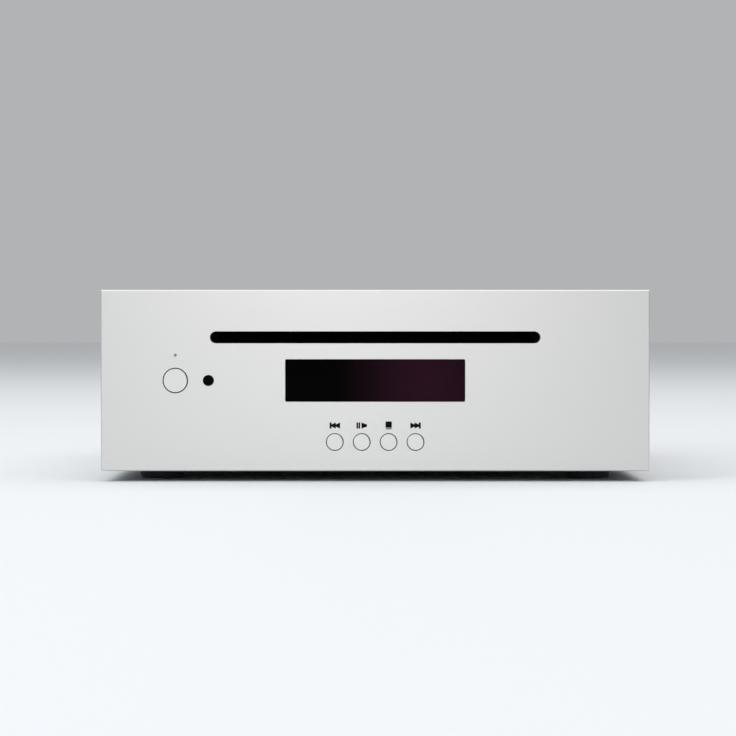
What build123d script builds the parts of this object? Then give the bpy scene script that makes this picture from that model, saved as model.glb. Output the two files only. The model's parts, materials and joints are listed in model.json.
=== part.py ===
from build123d import *
from math import acos, atan2, cos, degrees, pi, radians, sin, tan
import os

# A compact slot-loading CD player: a thick aluminium fascia on a folded steel tray, under a U-shaped cover.
# Millimetres. +X is the viewer's right, +Y runs from the fascia to the rear panel, +Z is up.
# The origin is on the floor, at the middle of the overall box.

# --- Case ---------------------------------------------------------------------------------------------
fascia_width = 206.0
fascia_height = 68.0
fascia_thickness = 6.0
fascia_edge_chamfer = 0.4
fascia_ground_gap = 4.0
body_depth = 194.0
cover_inset = 1.0
cover_thickness = 1.5
cover_bend_radius = 2.5
sheet = 1.2
sheet_bend_radius = 0.9
rear_panel_thickness = 2.0
flange_height = 14.0
assembly_gap = 0.2
foot_radius = 8.5
foot_setback = 20.0
vent_slot_length = 22.0
vent_slot_width = 2.4
vent_slot_count = 9
vent_slot_pitch = 6.0

# --- Fascia features, heights measured from the middle of the fascia ----------------------------------
disc_diameter = 120.0
disc_thickness = 1.2
slot_side_room = 2.0
slot_height = 4.5
slot_rise = 16.2
display_width = 67.6
display_height = 16.0
display_corner = 0.6
window_step = 2.0
window_flange = 2.0
window_recess = 0.3
standby_x = -75.0
standby_radius = 4.44
standby_gap = 0.36
lamp_rise = 9.5
lamp_radius = 0.55
infrared_x = -62.6
infrared_radius = 2.1
transport_drop = 23.1
transport_pitch = 10.1
transport_radius = 3.05
transport_gap = 0.28
transport_names = ("previous_button", "play_button", "stop_button", "next_button")

# --- Buttons and switches -----------------------------------------------------------------------------
button_proud = 0.3
button_travel = 0.5
button_skirt = 0.7
button_collar = 1.0
counterbore_depth = 2.5
stem_radius = 1.5
board_thickness = 1.6
control_board_setback = 8.0
switch_size = 6.0
switch_height = 3.6
stem_reach = 1.0
tube_clearance = 1.4

# --- Disc drive ---------------------------------------------------------------------------------------
disc_drop = 1.9
hub_rise = 1.8
hub_radius = 7.3
platter_radius = 15.0
platter_thickness = 2.0
disc_setback = 83.0
roller_setback = 17.0
roller_radius = 5.0
roller_waist_radius = 4.2
roller_shaft_radius = 1.5
roller_drop = 0.2
lever_length = 18.85
pivot_below_deck = 6.8
lever_plate = 1.2
lever_x = 66.8
pulley_radius = 4.0
pulley_rim_radius = 5.2
pulley_width = 3.0
belt_thickness = 1.0
belt_slack = 0.12
gear_module = 0.4
gear_addendum = 0.8
gear_dedendum = 1.2
gear_backlash = 0.12
pressure_angle = radians(20)
pivot_gear_teeth = 30
motor_gear_teeth = 14
gear_width = 2.0
loading_motor_radius = 6.0
loading_motor_length = 22.0
deck_thickness = 1.2
deck_half_width = 75.0
deck_below_slot = 3.1
deck_flange = 8.0
ear_reach = 15.0
ear_width = 14.0
ear_from_disc = 52.0
damper_radius = 4.5
damper_height = 3.0
lid_thickness = 0.8
lid_bend_radius = 0.7
bead_height = 0.4
bead_width = 6.0
bead_end_margin = 24.0
bead_insets = (21.0, 45.0)
guide_thickness = 1.1
rail_width = 4.3
running_gap = 0.06

# --- Clamp --------------------------------------------------------------------------------------------
clamp_lever = 50.0
clamp_open_angle = 8.0
clamp_pin_radius = 1.2
clamp_pin_rise = 5.1
clamp_half_width = 13.6
puck_radius = 11.0
puck_thickness = 2.4
puck_stem_radius = 4.0

# --- Pickup -------------------------------------------------------------------------------------------
sled_half_width = 27.0
sled_length = 30.0
sled_height = 7.0
sled_travel = 35.0
lens_inner_radius = 23.0
lens_to_front = 7.0
lens_radius = 2.6
rod_radius = 1.5
rod_x = 22.0
frame_half_width = 44.0
frame_plate = 1.2
rack_module = 0.5
rack_length = 44.0
sled_gear_teeth = 16
sled_gear_big_teeth = 40
sled_motor_radius = 6.0
sled_motor_length = 11.0
spindle_motor_radius = 12.0
spindle_motor_height = 9.0

# --- Electronics and rear connectors ------------------------------------------------------------------
main_board_half_width = 74.0
jack_board_half_width = 70.0
main_board_length = 146.0
standoff_height = 6.0
jack_reach = 6.0
jack_radius = 4.15
jack_washer_radius = 6.0
jack_washer_height = 1.0
jack_x = (-62.0, -42.0, -14.0)
jack_rise = 28.0
optical_x = 12.0
optical_outer = 12.0
optical_bore = 8.0
optical_depth = 10.0
connector_depth = 13.0
jack_housing = 10.0
inlet_x = 62.0
inlet_radius = 3.2
inlet_pin_radius = 1.05
inlet_proud = 1.2

# --- Fasteners ----------------------------------------------------------------------------------------
screw_radius = 1.45
screw_hole_radius = 1.5
screw_head_radius = 2.9
screw_head_height = 1.6

# --- Places worked out from the sizes above -----------------------------------------------------------
overall_depth = button_proud + body_depth + jack_reach
face_y = button_proud - overall_depth / 2
back_y = face_y + fascia_thickness
rear_y = face_y + body_depth
rear_inner_y = rear_y - rear_panel_thickness
mid_z = fascia_ground_gap + fascia_height / 2
top_z = fascia_ground_gap + fascia_height
base_z = fascia_ground_gap + cover_inset
floor_z = base_z + sheet
cover_half = fascia_width / 2 - cover_inset
inner_half = cover_half - cover_thickness
tray_half = inner_half - assembly_gap
cover_top_z = top_z - cover_inset
ceiling_z = cover_top_z - cover_thickness
panel_half = tray_half
sub_panel_top_z = ceiling_z - assembly_gap
tray_front_y = back_y + sheet

slot_z = mid_z + slot_rise
slot_width = disc_diameter + 2 * slot_side_room
slot_low = slot_z - slot_height / 2
slot_high = slot_z + slot_height / 2
transport_z = mid_z - transport_drop
transport_x = [transport_pitch * (i - 1.5) for i in range(4)]
control_board_y = back_y + control_board_setback
switch_front_y = control_board_y - switch_height
stem_end_y = switch_front_y + stem_reach
control_board_left = standby_x - 12.0
control_board_right = display_width / 2 + 10.0

disc_y = back_y + disc_setback
deck_top = slot_low - deck_below_slot
deck_low = deck_top - deck_thickness
deck_front_y = control_board_y + board_thickness + 0.8
sled_inner_y = disc_y + lens_inner_radius - lens_to_front
deck_rear_y = sled_inner_y + sled_length + sled_travel + 5.0
platter_top = slot_low - disc_drop
roller_y = back_y + roller_setback
roller_z = slot_low - roller_drop - roller_radius
pivot_y = roller_y + lever_length
pivot_z = deck_low - pivot_below_deck
lever_fall = roller_z - pivot_z
lid_low = slot_high + guide_thickness
lid_top = lid_low + lid_thickness
ear_ys = (disc_y - ear_from_disc, disc_y + ear_from_disc)
ear_x = deck_half_width + ear_reach - 5.0
clamp_pin_y = disc_y + clamp_lever
clamp_pin_z = lid_low + clamp_pin_rise
puck_low = platter_top + disc_thickness
main_board_z = floor_z + standoff_height
main_board_rear_y = rear_inner_y - 2.0
jack_z = base_z + jack_rise
jack_neck_radius = jack_radius - 0.35


# --- Shapes used by many pieces -----------------------------------------------------------------------
def block(x0, x1, y0, y1, z0, z1):
    """A box between two corners."""
    return Pos((x0 + x1) / 2, (y0 + y1) / 2, (z0 + z1) / 2) * Box(abs(x1 - x0), abs(y1 - y0), abs(z1 - z0))


def rod_x_axis(radius, x0, x1, y, z):
    """A cylinder along X."""
    return Pos((x0 + x1) / 2, y, z) * Rot(0, 90, 0) * Cylinder(radius, abs(x1 - x0))


def rod_y_axis(radius, y0, y1, x, z):
    """A cylinder along Y."""
    return Pos(x, (y0 + y1) / 2, z) * Rot(90, 0, 0) * Cylinder(radius, abs(y1 - y0))


def rod_z_axis(radius, z0, z1, x, y):
    """A cylinder along Z."""
    return Pos(x, y, (z0 + z1) / 2) * Cylinder(radius, abs(z1 - z0))


def rounded_hole(width, height, corner, y0, y1, x, z):
    """A rounded rectangle in XZ, extruded along Y."""
    sketch_plane = Plane(origin=(x, y1, z), x_dir=(1, 0, 0), z_dir=(0, -1, 0))
    return extrude(sketch_plane * RectangleRounded(width, height, corner), amount=y1 - y0)


def long_hole(width, height, y0, y1, x, z):
    """A slot with round ends in XZ, extruded along Y."""
    sketch_plane = Plane(origin=(x, y1, z), x_dir=(1, 0, 0), z_dir=(0, -1, 0))
    return extrude(sketch_plane * SlotOverall(width, height), amount=y1 - y0)


def joined(pieces):
    """Separate solids kept together as one node."""
    return Compound(children=[solid for piece in pieces for solid in piece.solids()])


def gear(teeth, module, width):
    """A spur gear along +Z from zero, with involute flanks and a tooth centred on +X."""
    pitch_radius = teeth * module / 2
    base_radius = pitch_radius * cos(pressure_angle)
    tip_radius = pitch_radius + gear_addendum * module
    root_radius = pitch_radius - gear_dedendum * module
    half_pitch = pi / (2 * teeth) - gear_backlash / (2 * pitch_radius)
    low_radius = max(base_radius, root_radius)

    def flank(radius):
        turn = acos(base_radius / radius)
        at_pitch = tan(pressure_angle) - pressure_angle
        return half_pitch + at_pitch - (tan(turn) - turn)

    steps = 4
    radii = [low_radius + (tip_radius - low_radius) * i / steps for i in range(steps + 1)]
    outline = []
    for tooth in range(teeth):
        centre = 2 * pi * tooth / teeth
        side = [(r, flank(r)) for r in radii]
        if root_radius < low_radius:
            side.insert(0, (root_radius, flank(low_radius)))
        outline += [(r * cos(centre - a), r * sin(centre - a)) for r, a in side]
        outline += [(r * cos(centre + a), r * sin(centre + a)) for r, a in reversed(side)]
    return extrude(make_face(Polyline(*outline, close=True)), amount=width)


def pan_screw(length):
    """A pan-head screw along -Z, its head's seat at z = 0."""
    head = Pos(0, 0, screw_head_height / 2) * Cylinder(screw_head_radius, screw_head_height)
    head = chamfer(head.edges().group_by(Axis.Z)[-1], 0.4)
    drive = Pos(0, 0, screw_head_height - 0.4) * (Box(3.2, 0.7, 1.2) + Box(0.7, 3.2, 1.2))
    return head + Pos(0, 0, -length / 2) * Cylinder(screw_radius, length) - drive


def flush_screw(length):
    """A countersunk screw along -Z, its head flush with z = 0."""
    head = Pos(0, 0, -screw_head_height / 2) * Cone(screw_radius, screw_head_radius, screw_head_height)
    drive = Box(3.2, 0.7, 1.6) + Box(0.7, 3.2, 1.6)
    return head + Pos(0, 0, -length / 2 - screw_head_height / 2) * Cylinder(screw_radius, length) - drive


def flush_hole(depth):
    """The countersunk hole that flush_screw seats in, along -Z from z = 0."""
    sink = Pos(0, 0, -screw_head_height / 2) * Cone(screw_radius, screw_head_radius, screw_head_height)
    return sink + Pos(0, 0, -depth / 2) * Cylinder(screw_hole_radius, depth)


# --- Case ---------------------------------------------------------------------------------------------
cover_screw_z = base_z + flange_height / 2
cover_screw_ys = [back_y + 26.0, (back_y + rear_y) / 2, rear_inner_y - 20.0]
rear_screw_x = tray_half - 9.0
rear_screw_z = base_z + flange_height / 2 + 1.0
fascia_screw_x = panel_half - 10.0
fascia_screw_zs = (base_z + 22.0, ceiling_z - 6.0)
fascia_screw_depth = 3.5
case_screw_places = [Pos(side * cover_half, y, cover_screw_z) * Rot(0, 90 * side, 0)
                     for side in (-1, 1) for y in cover_screw_ys]
case_screw_places += [Pos(side * rear_screw_x, rear_y, rear_screw_z) * Rot(-90, 0, 0) for side in (-1, 1)]
case_screw_places += [Pos(side * rear_screw_x, rear_y, ceiling_z - 8.0) * Rot(-90, 0, 0)
                      for side in (-1, 1)]
foot_places = [(side * (cover_half - foot_setback), y) for side in (-1, 1)
               for y in (tray_front_y + foot_setback, rear_inner_y - foot_setback)]
bracket_x = deck_half_width + 4.0
bracket_foot = 10.0
standoff_places = [(x, y) for x in (6.0 - main_board_half_width, main_board_half_width - 6.0)
                   for y in (main_board_rear_y - main_board_length + 6.0, main_board_rear_y - 14.0)]


def front_panel():
    """Thick aluminium plate with the disc slot, display window, lamp, eye and button holes."""
    plate = block(-fascia_width / 2, fascia_width / 2, face_y, back_y, fascia_ground_gap, top_z)
    plate = chamfer(plate.faces().sort_by(Axis.Y)[0].edges(), fascia_edge_chamfer)
    plate -= long_hole(slot_width, slot_height, face_y - 1, back_y + 1, 0, slot_z)
    plate -= rounded_hole(display_width, display_height, display_corner, face_y - 1, back_y + 1, 0, mid_z)
    pocket = (display_width + 2 * window_step, display_height + 2 * window_step)
    plate -= rounded_hole(*pocket, 1.5, face_y + 3.0, back_y + 1, 0, mid_z)
    for x, z, radius, gap in button_seats().values():
        plate -= rod_y_axis(radius + gap, face_y - 1, back_y + 1, x, z)
        plate -= rod_y_axis(radius + gap + button_skirt + 0.3, back_y - counterbore_depth, back_y + 1, x, z)
    plate -= rod_y_axis(infrared_radius, face_y - 1, back_y + 1, infrared_x, mid_z)
    plate -= rod_y_axis(infrared_radius + 1.0, back_y - counterbore_depth, back_y + 1, infrared_x, mid_z)
    plate -= rod_y_axis(lamp_radius, face_y - 1, back_y + 1, standby_x, mid_z + lamp_rise)
    for x in (-fascia_screw_x, fascia_screw_x):
        for z in fascia_screw_zs:
            plate -= rod_y_axis(screw_hole_radius, back_y - fascia_screw_depth - 0.3, back_y + 1, x, z)
    return plate


def panel_blank(y0, y1):
    """The plate that closes one end of the cover, its upper corners rounded to suit."""
    plate = block(-panel_half, panel_half, y0, y1, base_z, sub_panel_top_z)
    return fillet(plate.edges().filter_by(Axis.Y).group_by(Axis.Z)[-1], cover_bend_radius - cover_thickness)


def sub_panel():
    """Steel plate behind the fascia that ties it to the tray."""
    y0, y1 = back_y - 1, back_y + sheet + 1
    plate = panel_blank(back_y, back_y + sheet)
    plate -= long_hole(slot_width + 1.0, slot_height + 1.0, y0, y1, 0, slot_z)
    plate -= rounded_hole(display_width + 4.0, display_height + 6.0, 1.0, y0, y1, 0, mid_z)
    for x, z, radius, _ in button_seats().values():
        plate -= rod_y_axis(radius + 0.6, y0, y1, x, z)
    plate -= rod_y_axis(infrared_radius + 0.4, y0, y1, infrared_x, mid_z)
    plate -= rod_y_axis(lamp_radius + 0.5, y0, y1, standby_x, mid_z + lamp_rise)
    for x in (-fascia_screw_x, fascia_screw_x):
        for z in (*fascia_screw_zs, base_z + flange_height / 2):
            plate -= rod_y_axis(screw_hole_radius, y0, y1, x, z)
    return plate


def base_tray():
    """Folded steel tray that carries the drive, the boards and the feet."""
    inside = tray_half - sheet
    tray = block(-tray_half, tray_half, tray_front_y, rear_inner_y, base_z, base_z + flange_height)
    tray = fillet(tray.faces().sort_by(Axis.Z)[0].edges(), sheet_bend_radius)
    tray -= block(-inside, inside, tray_front_y + sheet, rear_inner_y - sheet, floor_z, top_z)
    relief = 1.5
    for x in (-tray_half, tray_half):
        for y in (tray_front_y, rear_inner_y):
            tray -= block(x - relief, x + relief, y - relief, y + relief, floor_z, top_z)
    reach = 1.5 * transport_pitch + transport_radius + 4.0
    tray -= block(-reach, reach, tray_front_y - 1, tray_front_y + sheet + 0.1, floor_z + 1.0, top_z)
    for x, y in foot_places:
        tray -= rod_z_axis(screw_hole_radius, base_z - 1, floor_z + 1, x, y)
    for x, y in standoff_places:
        tray -= rod_z_axis(screw_hole_radius, base_z - 1, floor_z + 1, x, y)
    for x in (-rear_screw_x, rear_screw_x):
        tray += block(x - 5, x + 5, rear_inner_y - sheet, rear_inner_y, floor_z, ceiling_z - 3.0)
    for place in case_screw_places:
        tray -= place * Pos(0, 0, -4) * Cylinder(screw_hole_radius, 8)
    for x in (-fascia_screw_x, fascia_screw_x):
        tray -= rod_y_axis(screw_hole_radius, tray_front_y - 1, tray_front_y + sheet + 1, x, cover_screw_z)
    slot = Box(vent_slot_width, vent_slot_length, 4)
    first = -vent_slot_pitch * (vent_slot_count - 1) / 2
    for i in range(vent_slot_count):
        for y in (disc_y - 6.0, disc_y + 50.0):
            tray -= Pos(first + vent_slot_pitch * i, y, base_z + sheet / 2) * slot
    for side in (-1, 1):
        for y in ear_ys:
            tray -= rod_z_axis(screw_hole_radius, base_z - 1, floor_z + 1, side * (bracket_x + 6.0), y)
    return tray


def top_cover():
    """Aluminium cover folded into a U over the top and both sides."""
    outer = block(-cover_half, cover_half, back_y, rear_y, base_z, cover_top_z)
    top_edges = outer.edges().filter_by(Axis.Y).group_by(Axis.Z)[-1]
    outer = fillet(top_edges, cover_bend_radius)
    inner = block(-inner_half, inner_half, back_y - 1, rear_y + 1, base_z - 1, ceiling_z)
    inner_edges = inner.edges().filter_by(Axis.Y).group_by(Axis.Z)[-1]
    cover = outer - fillet(inner_edges, cover_bend_radius - cover_thickness)
    for place in case_screw_places[:6]:
        cover -= place * flush_hole(4.0)
    return cover


def rear_panel():
    """Flat plate with the connector holes."""
    y0, y1 = rear_inner_y - 1, rear_y + 1
    plate = panel_blank(rear_inner_y, rear_y)
    for x in jack_x:
        plate -= rod_y_axis(jack_neck_radius, y0, y1, x, jack_z)
    half = optical_outer / 2
    plate -= block(optical_x - half, optical_x + half, y0, y1, jack_z - half, jack_z + half)
    plate -= rod_y_axis(inlet_radius + 1.8, y0, y1, inlet_x, jack_z)
    for place in case_screw_places[6:]:
        plate -= place * flush_hole(4.0)
    return plate


def foot(x, y):
    """Turned rubber foot with a recess for its screw."""
    body = rod_z_axis(foot_radius, 0, base_z, x, y)
    body = chamfer(body.edges().group_by(Axis.Z)[0], 0.6)
    body -= rod_z_axis(screw_head_radius + 0.5, -1, screw_head_height + 0.6, x, y)
    return body - rod_z_axis(screw_hole_radius, 0, base_z + 1, x, y)


def feet():
    """The four feet."""
    return joined([foot(x, y) for x, y in foot_places])


def case_screws():
    """Countersunk screws through the cover's sides and the rear panel, and pan-head screws in the feet."""
    screws = [place * flush_screw(3.4) for place in case_screw_places]
    for x, y in foot_places:
        screws.append(Pos(x, y, screw_head_height + 0.6) * Rot(180, 0, 0) * pan_screw(5.6))
    return joined(screws)


def chassis_screws():
    """Pan-head screws inside: fascia, tray front, drive ears and bracket feet."""
    screws = []
    for x in (-fascia_screw_x, fascia_screw_x):
        for z in fascia_screw_zs:
            place = Pos(x, back_y + sheet, z) * Rot(-90, 0, 0)
            screws.append(place * pan_screw(sheet + fascia_screw_depth))
        low_z = base_z + flange_height / 2
        screws.append(Pos(x, tray_front_y + sheet, low_z) * Rot(-90, 0, 0) * pan_screw(2 * sheet))
    for side in (-1, 1):
        for y in ear_ys:
            screws.append(Pos(side * ear_x, y, deck_top) * pan_screw(deck_thickness + damper_height + 3.0))
            screws.append(Pos(side * (bracket_x + 6.0), y, floor_z + sheet) * pan_screw(2 * sheet))
    board_screw = pan_screw(board_thickness + standoff_height + sheet)
    for x, y in standoff_places:
        screws.append(Pos(x, y, main_board_z + board_thickness) * board_screw)
    return joined(screws)


# --- Front controls -----------------------------------------------------------------------------------
def button_seats():
    """Each button's name, with its centre, cap radius and the gap around it."""
    seats = {"standby_button": (standby_x, mid_z, standby_radius, standby_gap)}
    for name, x in zip(transport_names, transport_x):
        seats[name] = (x, transport_z, transport_radius, transport_gap)
    return seats


def button(x, z, radius, gap):
    """Turned aluminium cap, its collar behind the fascia and the stem that works the switch."""
    seat_y = back_y - counterbore_depth
    cap = rod_y_axis(radius, face_y - button_proud, seat_y + button_collar, x, z)
    cap = fillet(cap.edges().group_by(Axis.Y)[0], 0.25)
    collar = rod_y_axis(radius + gap + button_skirt, seat_y, seat_y + button_collar, x, z)
    return cap + collar + rod_y_axis(stem_radius, seat_y, stem_end_y, x, z)


def switches():
    """Five tactile switches on the control board, each with the well that its button's stem works in."""
    bodies = []
    for x, z, _, _ in button_seats().values():
        half = switch_size / 2
        body = block(x - half, x + half, switch_front_y, control_board_y, z - half, z + half)
        well = rod_y_axis(stem_radius + 0.2, switch_front_y - 1, stem_end_y + button_travel + 0.1, x, z)
        bodies.append(body - well)
    return joined(bodies)


def control_board():
    """Circuit board behind the fascia for the switches, display and remote-control eye."""
    back = control_board_y + board_thickness
    low = transport_z - 5.5
    return block(control_board_left, control_board_right, control_board_y, back, low, deck_top - 0.4)


def display_window():
    """Smoked acrylic window with a step that seats behind the fascia."""
    room = 0.15
    front = rounded_hole(display_width - 2 * room, display_height - 2 * room, display_corner,
                         face_y + window_recess, face_y + 3.0, 0, mid_z)
    width = display_width + 2 * window_step - 2 * room
    height = display_height + 2 * window_step - 2 * room
    return front + rounded_hole(width, height, 1.4, face_y + 3.0, face_y + 3.0 + window_flange, 0, mid_z)


def display_tube():
    """Vacuum fluorescent display tube on the control board, behind the window."""
    half_width = display_width / 2 + 1.5
    half_height = display_height / 2 + 2.5
    glass = block(-half_width, half_width, back_y + tube_clearance, control_board_y,
                  mid_z - half_height, mid_z + half_height)
    return chamfer(glass.faces().sort_by(Axis.Y)[0].edges(), 0.6)


def infrared_window():
    """Dark round window for the remote-control eye, with a shoulder behind the fascia."""
    plug = rod_y_axis(infrared_radius - 0.05, face_y + 0.2, back_y, infrared_x, mid_z)
    return plug + rod_y_axis(infrared_radius + 0.9, back_y - counterbore_depth, back_y, infrared_x, mid_z)


def infrared_receiver():
    """Remote-control receiver: a dark block with a domed lens, on the control board."""
    front = control_board_y - 4.0
    body = block(infrared_x - 3.0, infrared_x + 3.0, front, control_board_y, mid_z - 3.5, mid_z + 3.5)
    dome = Pos(infrared_x, control_board_y - 4.0, mid_z) * Sphere(1.9)
    return body + dome


def lamp_pipe():
    """Clear light pipe from the board's lamp to the pinhole in the fascia."""
    z = mid_z + lamp_rise
    return (rod_y_axis(lamp_radius - 0.05, face_y + 0.1, back_y + sheet + 1.0, standby_x, z)
            + rod_y_axis(1.5, back_y + sheet + 1.0, control_board_y, standby_x, z))


def slot_bezel():
    """Black moulded frame that carries the disc from the fascia to the drive."""
    front = back_y + sheet
    frame = block(-slot_width / 2 - 4, slot_width / 2 + 4, front, front + 6.2, deck_top + 0.2, lid_top + 1.0)
    frame -= block(-slot_width / 2, slot_width / 2, front - 1, front + 7, slot_low, slot_high)
    for z in (slot_low - 0.5, slot_high + 0.5):
        frame -= block(-slot_width / 2, slot_width / 2, front + 1.5, front + 4.5, z - 0.5, z + 0.5)
    return frame


def slot_felts():
    """Two felt strips let into the bezel, level with the slot's edges."""
    front = back_y + sheet + 1.5
    half = slot_width / 2
    return joined([block(-half, half, front, front + 3.0, z - 0.5, z + 0.5)
                   for z in (slot_low - 0.5, slot_high + 0.5)])


# --- Disc drive ---------------------------------------------------------------------------------------
lever_angle = 180 - degrees(atan2(lever_fall, lever_length))
pulley_x = lever_x + lever_plate + 0.4
gear_x = pulley_x + pulley_width + 0.2
loading_motor_y = pivot_y + gear_module * (pivot_gear_teeth + motor_gear_teeth) / 2 + 0.05
roller_notch_y = roller_y + 12.0
bracket_top_z = deck_low - damper_height
frame_top = deck_low - 3.6
frame_low = frame_top - frame_plate
frame_front_y = disc_y - 18.0
frame_window_y = (disc_y + spindle_motor_radius + 1.0, sled_inner_y + sled_length + sled_travel + 1.4)
traverse_damper_places = [(side * 38.0, y) for side in (-1, 1) for y in (disc_y - 9.0, deck_rear_y - 7.0)]


def along_x(piece, x, y, z):
    """Turns a piece built along +Z so that it runs along +X from x."""
    return Pos(x, y, z) * Rot(0, 90, 0) * piece


def drive_brackets():
    """Two folded steel brackets that hold the drive above the tray."""
    brackets = []
    for side in (-1, 1):
        near, far = side * bracket_x, side * (bracket_x + sheet)
        reach = side * (bracket_x + sheet + bracket_foot)
        y0, y1 = ear_ys[0] - ear_width / 2, ear_ys[1] + ear_width / 2
        plate = block(near, far, y0, y1, floor_z, bracket_top_z)
        plate -= block(near - 2, far + 2, y0 + 18, y1 - 18, floor_z + 10, bracket_top_z - 8)
        plate += block(near, reach, y0, y1, floor_z, floor_z + sheet)
        for y in ear_ys:
            front, back = y - ear_width / 2, y + ear_width / 2
            plate += block(near, reach, front, back, bracket_top_z - sheet, bracket_top_z)
            foot_x = side * (bracket_x + 6.0)
            plate -= rod_z_axis(screw_hole_radius, floor_z - 1, floor_z + sheet + 1, foot_x, y)
            plate -= rod_z_axis(screw_hole_radius, bracket_top_z - 3, bracket_top_z + 1, side * ear_x, y)
        brackets.append(plate)
    return joined(brackets)


def rubber_dampers():
    """Soft bushes under the drive's ears and between the deck and the pickup frame."""
    bushes = []
    for side in (-1, 1):
        for y in ear_ys:
            bush = rod_z_axis(damper_radius, bracket_top_z, deck_low, side * ear_x, y)
            bush -= rod_z_axis(screw_hole_radius, bracket_top_z - 1, deck_low + 1, side * ear_x, y)
            bushes.append(bush)
    for x, y in traverse_damper_places:
        bushes.append(rod_z_axis(3.5, frame_top, deck_low, x, y))
    return joined(bushes)


def drive_deck():
    """Folded steel deck of the drive: the disc runs above it, and the mechanism hangs below."""
    half = deck_half_width
    deck = block(-half, half, deck_front_y, deck_rear_y, deck_low - deck_flange, deck_top)
    deck = fillet(deck.faces().sort_by(Axis.Z)[-1].edges().filter_by(Axis.Y), sheet_bend_radius)
    deck -= block(sheet - half, half - sheet, deck_front_y - 1, deck_rear_y + 1, 0, deck_low)
    front = deck_front_y - 1
    deck -= block(-lever_x - lever_plate - 1, pulley_x, front, roller_notch_y, deck_low - 1, top_z)
    deck -= block(pulley_x - 0.6, gear_x + 0.4, front, pivot_y - 1, deck_low - 1, top_z)
    deck -= block(-30, 30, disc_y - platter_radius - 2, disc_y + 66, deck_low - 1, deck_top + 1)
    for side in (-1, 1):
        for y in ear_ys:
            deck += block(side * (half - sheet), side * (half + ear_reach), y - ear_width / 2,
                          y + ear_width / 2, deck_low, deck_top)
            deck -= rod_z_axis(screw_hole_radius, deck_low - 1, deck_top + 1, side * ear_x, y)
    deck -= rod_x_axis(roller_shaft_radius, -half - 1, half + 1, pivot_y, pivot_z)
    motor_end_x = lever_x + lever_plate - loading_motor_length
    y0, y1 = loading_motor_y - 6, loading_motor_y + 6
    return deck + block(motor_end_x - sheet, motor_end_x, y0, y1, pivot_z - 5, deck_low)


def lid_beads():
    """Long raised beads that stiffen the lid, standing on its upper face."""
    length = deck_rear_y - deck_front_y - 2 * bead_end_margin
    bead = extrude(SlotOverall(length, bead_width), bead_height)
    bead = chamfer(bead.faces().sort_by(Axis.Z)[-1].edges(), bead_height * 0.7)
    middle_y = (deck_front_y + deck_rear_y) / 2
    return [Pos(side * (deck_half_width - inset), middle_y, lid_top) * Rot(0, 0, 90) * bead
            for side in (-1, 1) for inset in bead_insets]


def drive_lid():
    """Thin steel lid over the disc, with raised beads, the clamp's opening and its hinge ears."""
    half = deck_half_width + lid_thickness
    lid = block(-half, half, deck_front_y, deck_rear_y, deck_low - 6.0, lid_top)
    lid = fillet(lid.faces().sort_by(Axis.Z)[-1].edges().filter_by(Axis.Y), lid_bend_radius)
    lid -= block(-deck_half_width, deck_half_width, deck_front_y - 1, deck_rear_y + 1, 0, lid_low)
    for bead in lid_beads():
        lid += bead
    for side in (-1, 1):
        for y in ear_ys:
            room = ear_width / 2 + 0.3
            lid -= block(side * (half - 2), side * (half + 2), y - room, y + room, 0, deck_top + 0.3)
    lid -= rod_z_axis(puck_radius + 2.5, lid_low - 1, lid_top + 1, 0, disc_y)
    for side in (-1, 1):
        x0 = side * (clamp_half_width + 0.4)
        ear = block(x0, x0 + side * 1.2, clamp_pin_y - 4, clamp_pin_y + 4, lid_top, clamp_pin_z + 2.2)
        lid += ear
    return lid - rod_x_axis(clamp_pin_radius, -30, 30, clamp_pin_y, clamp_pin_z)


def disc_guides():
    """Moulded guides: a strip above the roller, a rail on each side and two end stops."""
    half, inner = slot_width / 2 + 4.0, slot_width / 2 - 0.8
    y0, y1 = roller_notch_y + 0.5, disc_y + 50
    strip = block(-half, half, deck_front_y, roller_notch_y - 1.0, slot_high, lid_low)
    guides = [chamfer(strip.faces().sort_by(Axis.Y)[0].edges().group_by(Axis.Z)[0], 0.6)]
    for side in (-1, 1):
        rail = block(side * inner, side * (inner + rail_width), y0, y1, deck_top, lid_low)
        lead = rail.faces().sort_by(Axis.Y)[0].edges().filter_by(Axis.Z).sort_by(Axis.X)
        guides.append(chamfer(lead[1 if side < 0 else 0], 1.5))
        reach = disc_diameter / 2 + 3.0
        guides.append(rod_z_axis(2.0, deck_top, lid_low, side * reach * sin(radians(35)),
                                 disc_y + reach * cos(radians(35))))
    return joined(guides)


def roller_lever():
    """U-shaped lever that lifts the feed roller against the disc."""
    middle_y, middle_z = (pivot_y + roller_y) / 2, (pivot_z + roller_z) / 2
    span = (lever_length ** 2 + lever_fall ** 2) ** 0.5
    lever = block(-lever_x - lever_plate, lever_x + lever_plate, middle_y - 2, middle_y + 2,
                  middle_z - 5.0, middle_z - 5.0 + lever_plate)
    for side in (-1, 1):
        x0, x1 = side * lever_x, side * (lever_x + lever_plate)
        arm = Pos((x0 + x1) / 2, middle_y, middle_z) * Rot(lever_angle, 0, 0) * Box(lever_plate, span, 5.2)
        arm += rod_x_axis(2.6, x0, x1, pivot_y, pivot_z) + rod_x_axis(2.6, x0, x1, roller_y, roller_z)
        lever += arm + block(x0, x1, middle_y - 2, middle_y + 2, middle_z - 5.0, middle_z)
    for y, z in ((pivot_y, pivot_z), (roller_y, roller_z)):
        lever -= rod_x_axis(roller_shaft_radius + running_gap, -80, 80, y, z)
    return lever


def hinge_pins():
    """Steel shaft that the roller lever turns on, and the pin that the clamp arm turns on."""
    half = clamp_half_width + 1.6
    return joined([rod_x_axis(roller_shaft_radius, -deck_half_width, deck_half_width, pivot_y, pivot_z),
                   rod_x_axis(clamp_pin_radius, -half, half, clamp_pin_y, clamp_pin_z)])


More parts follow.
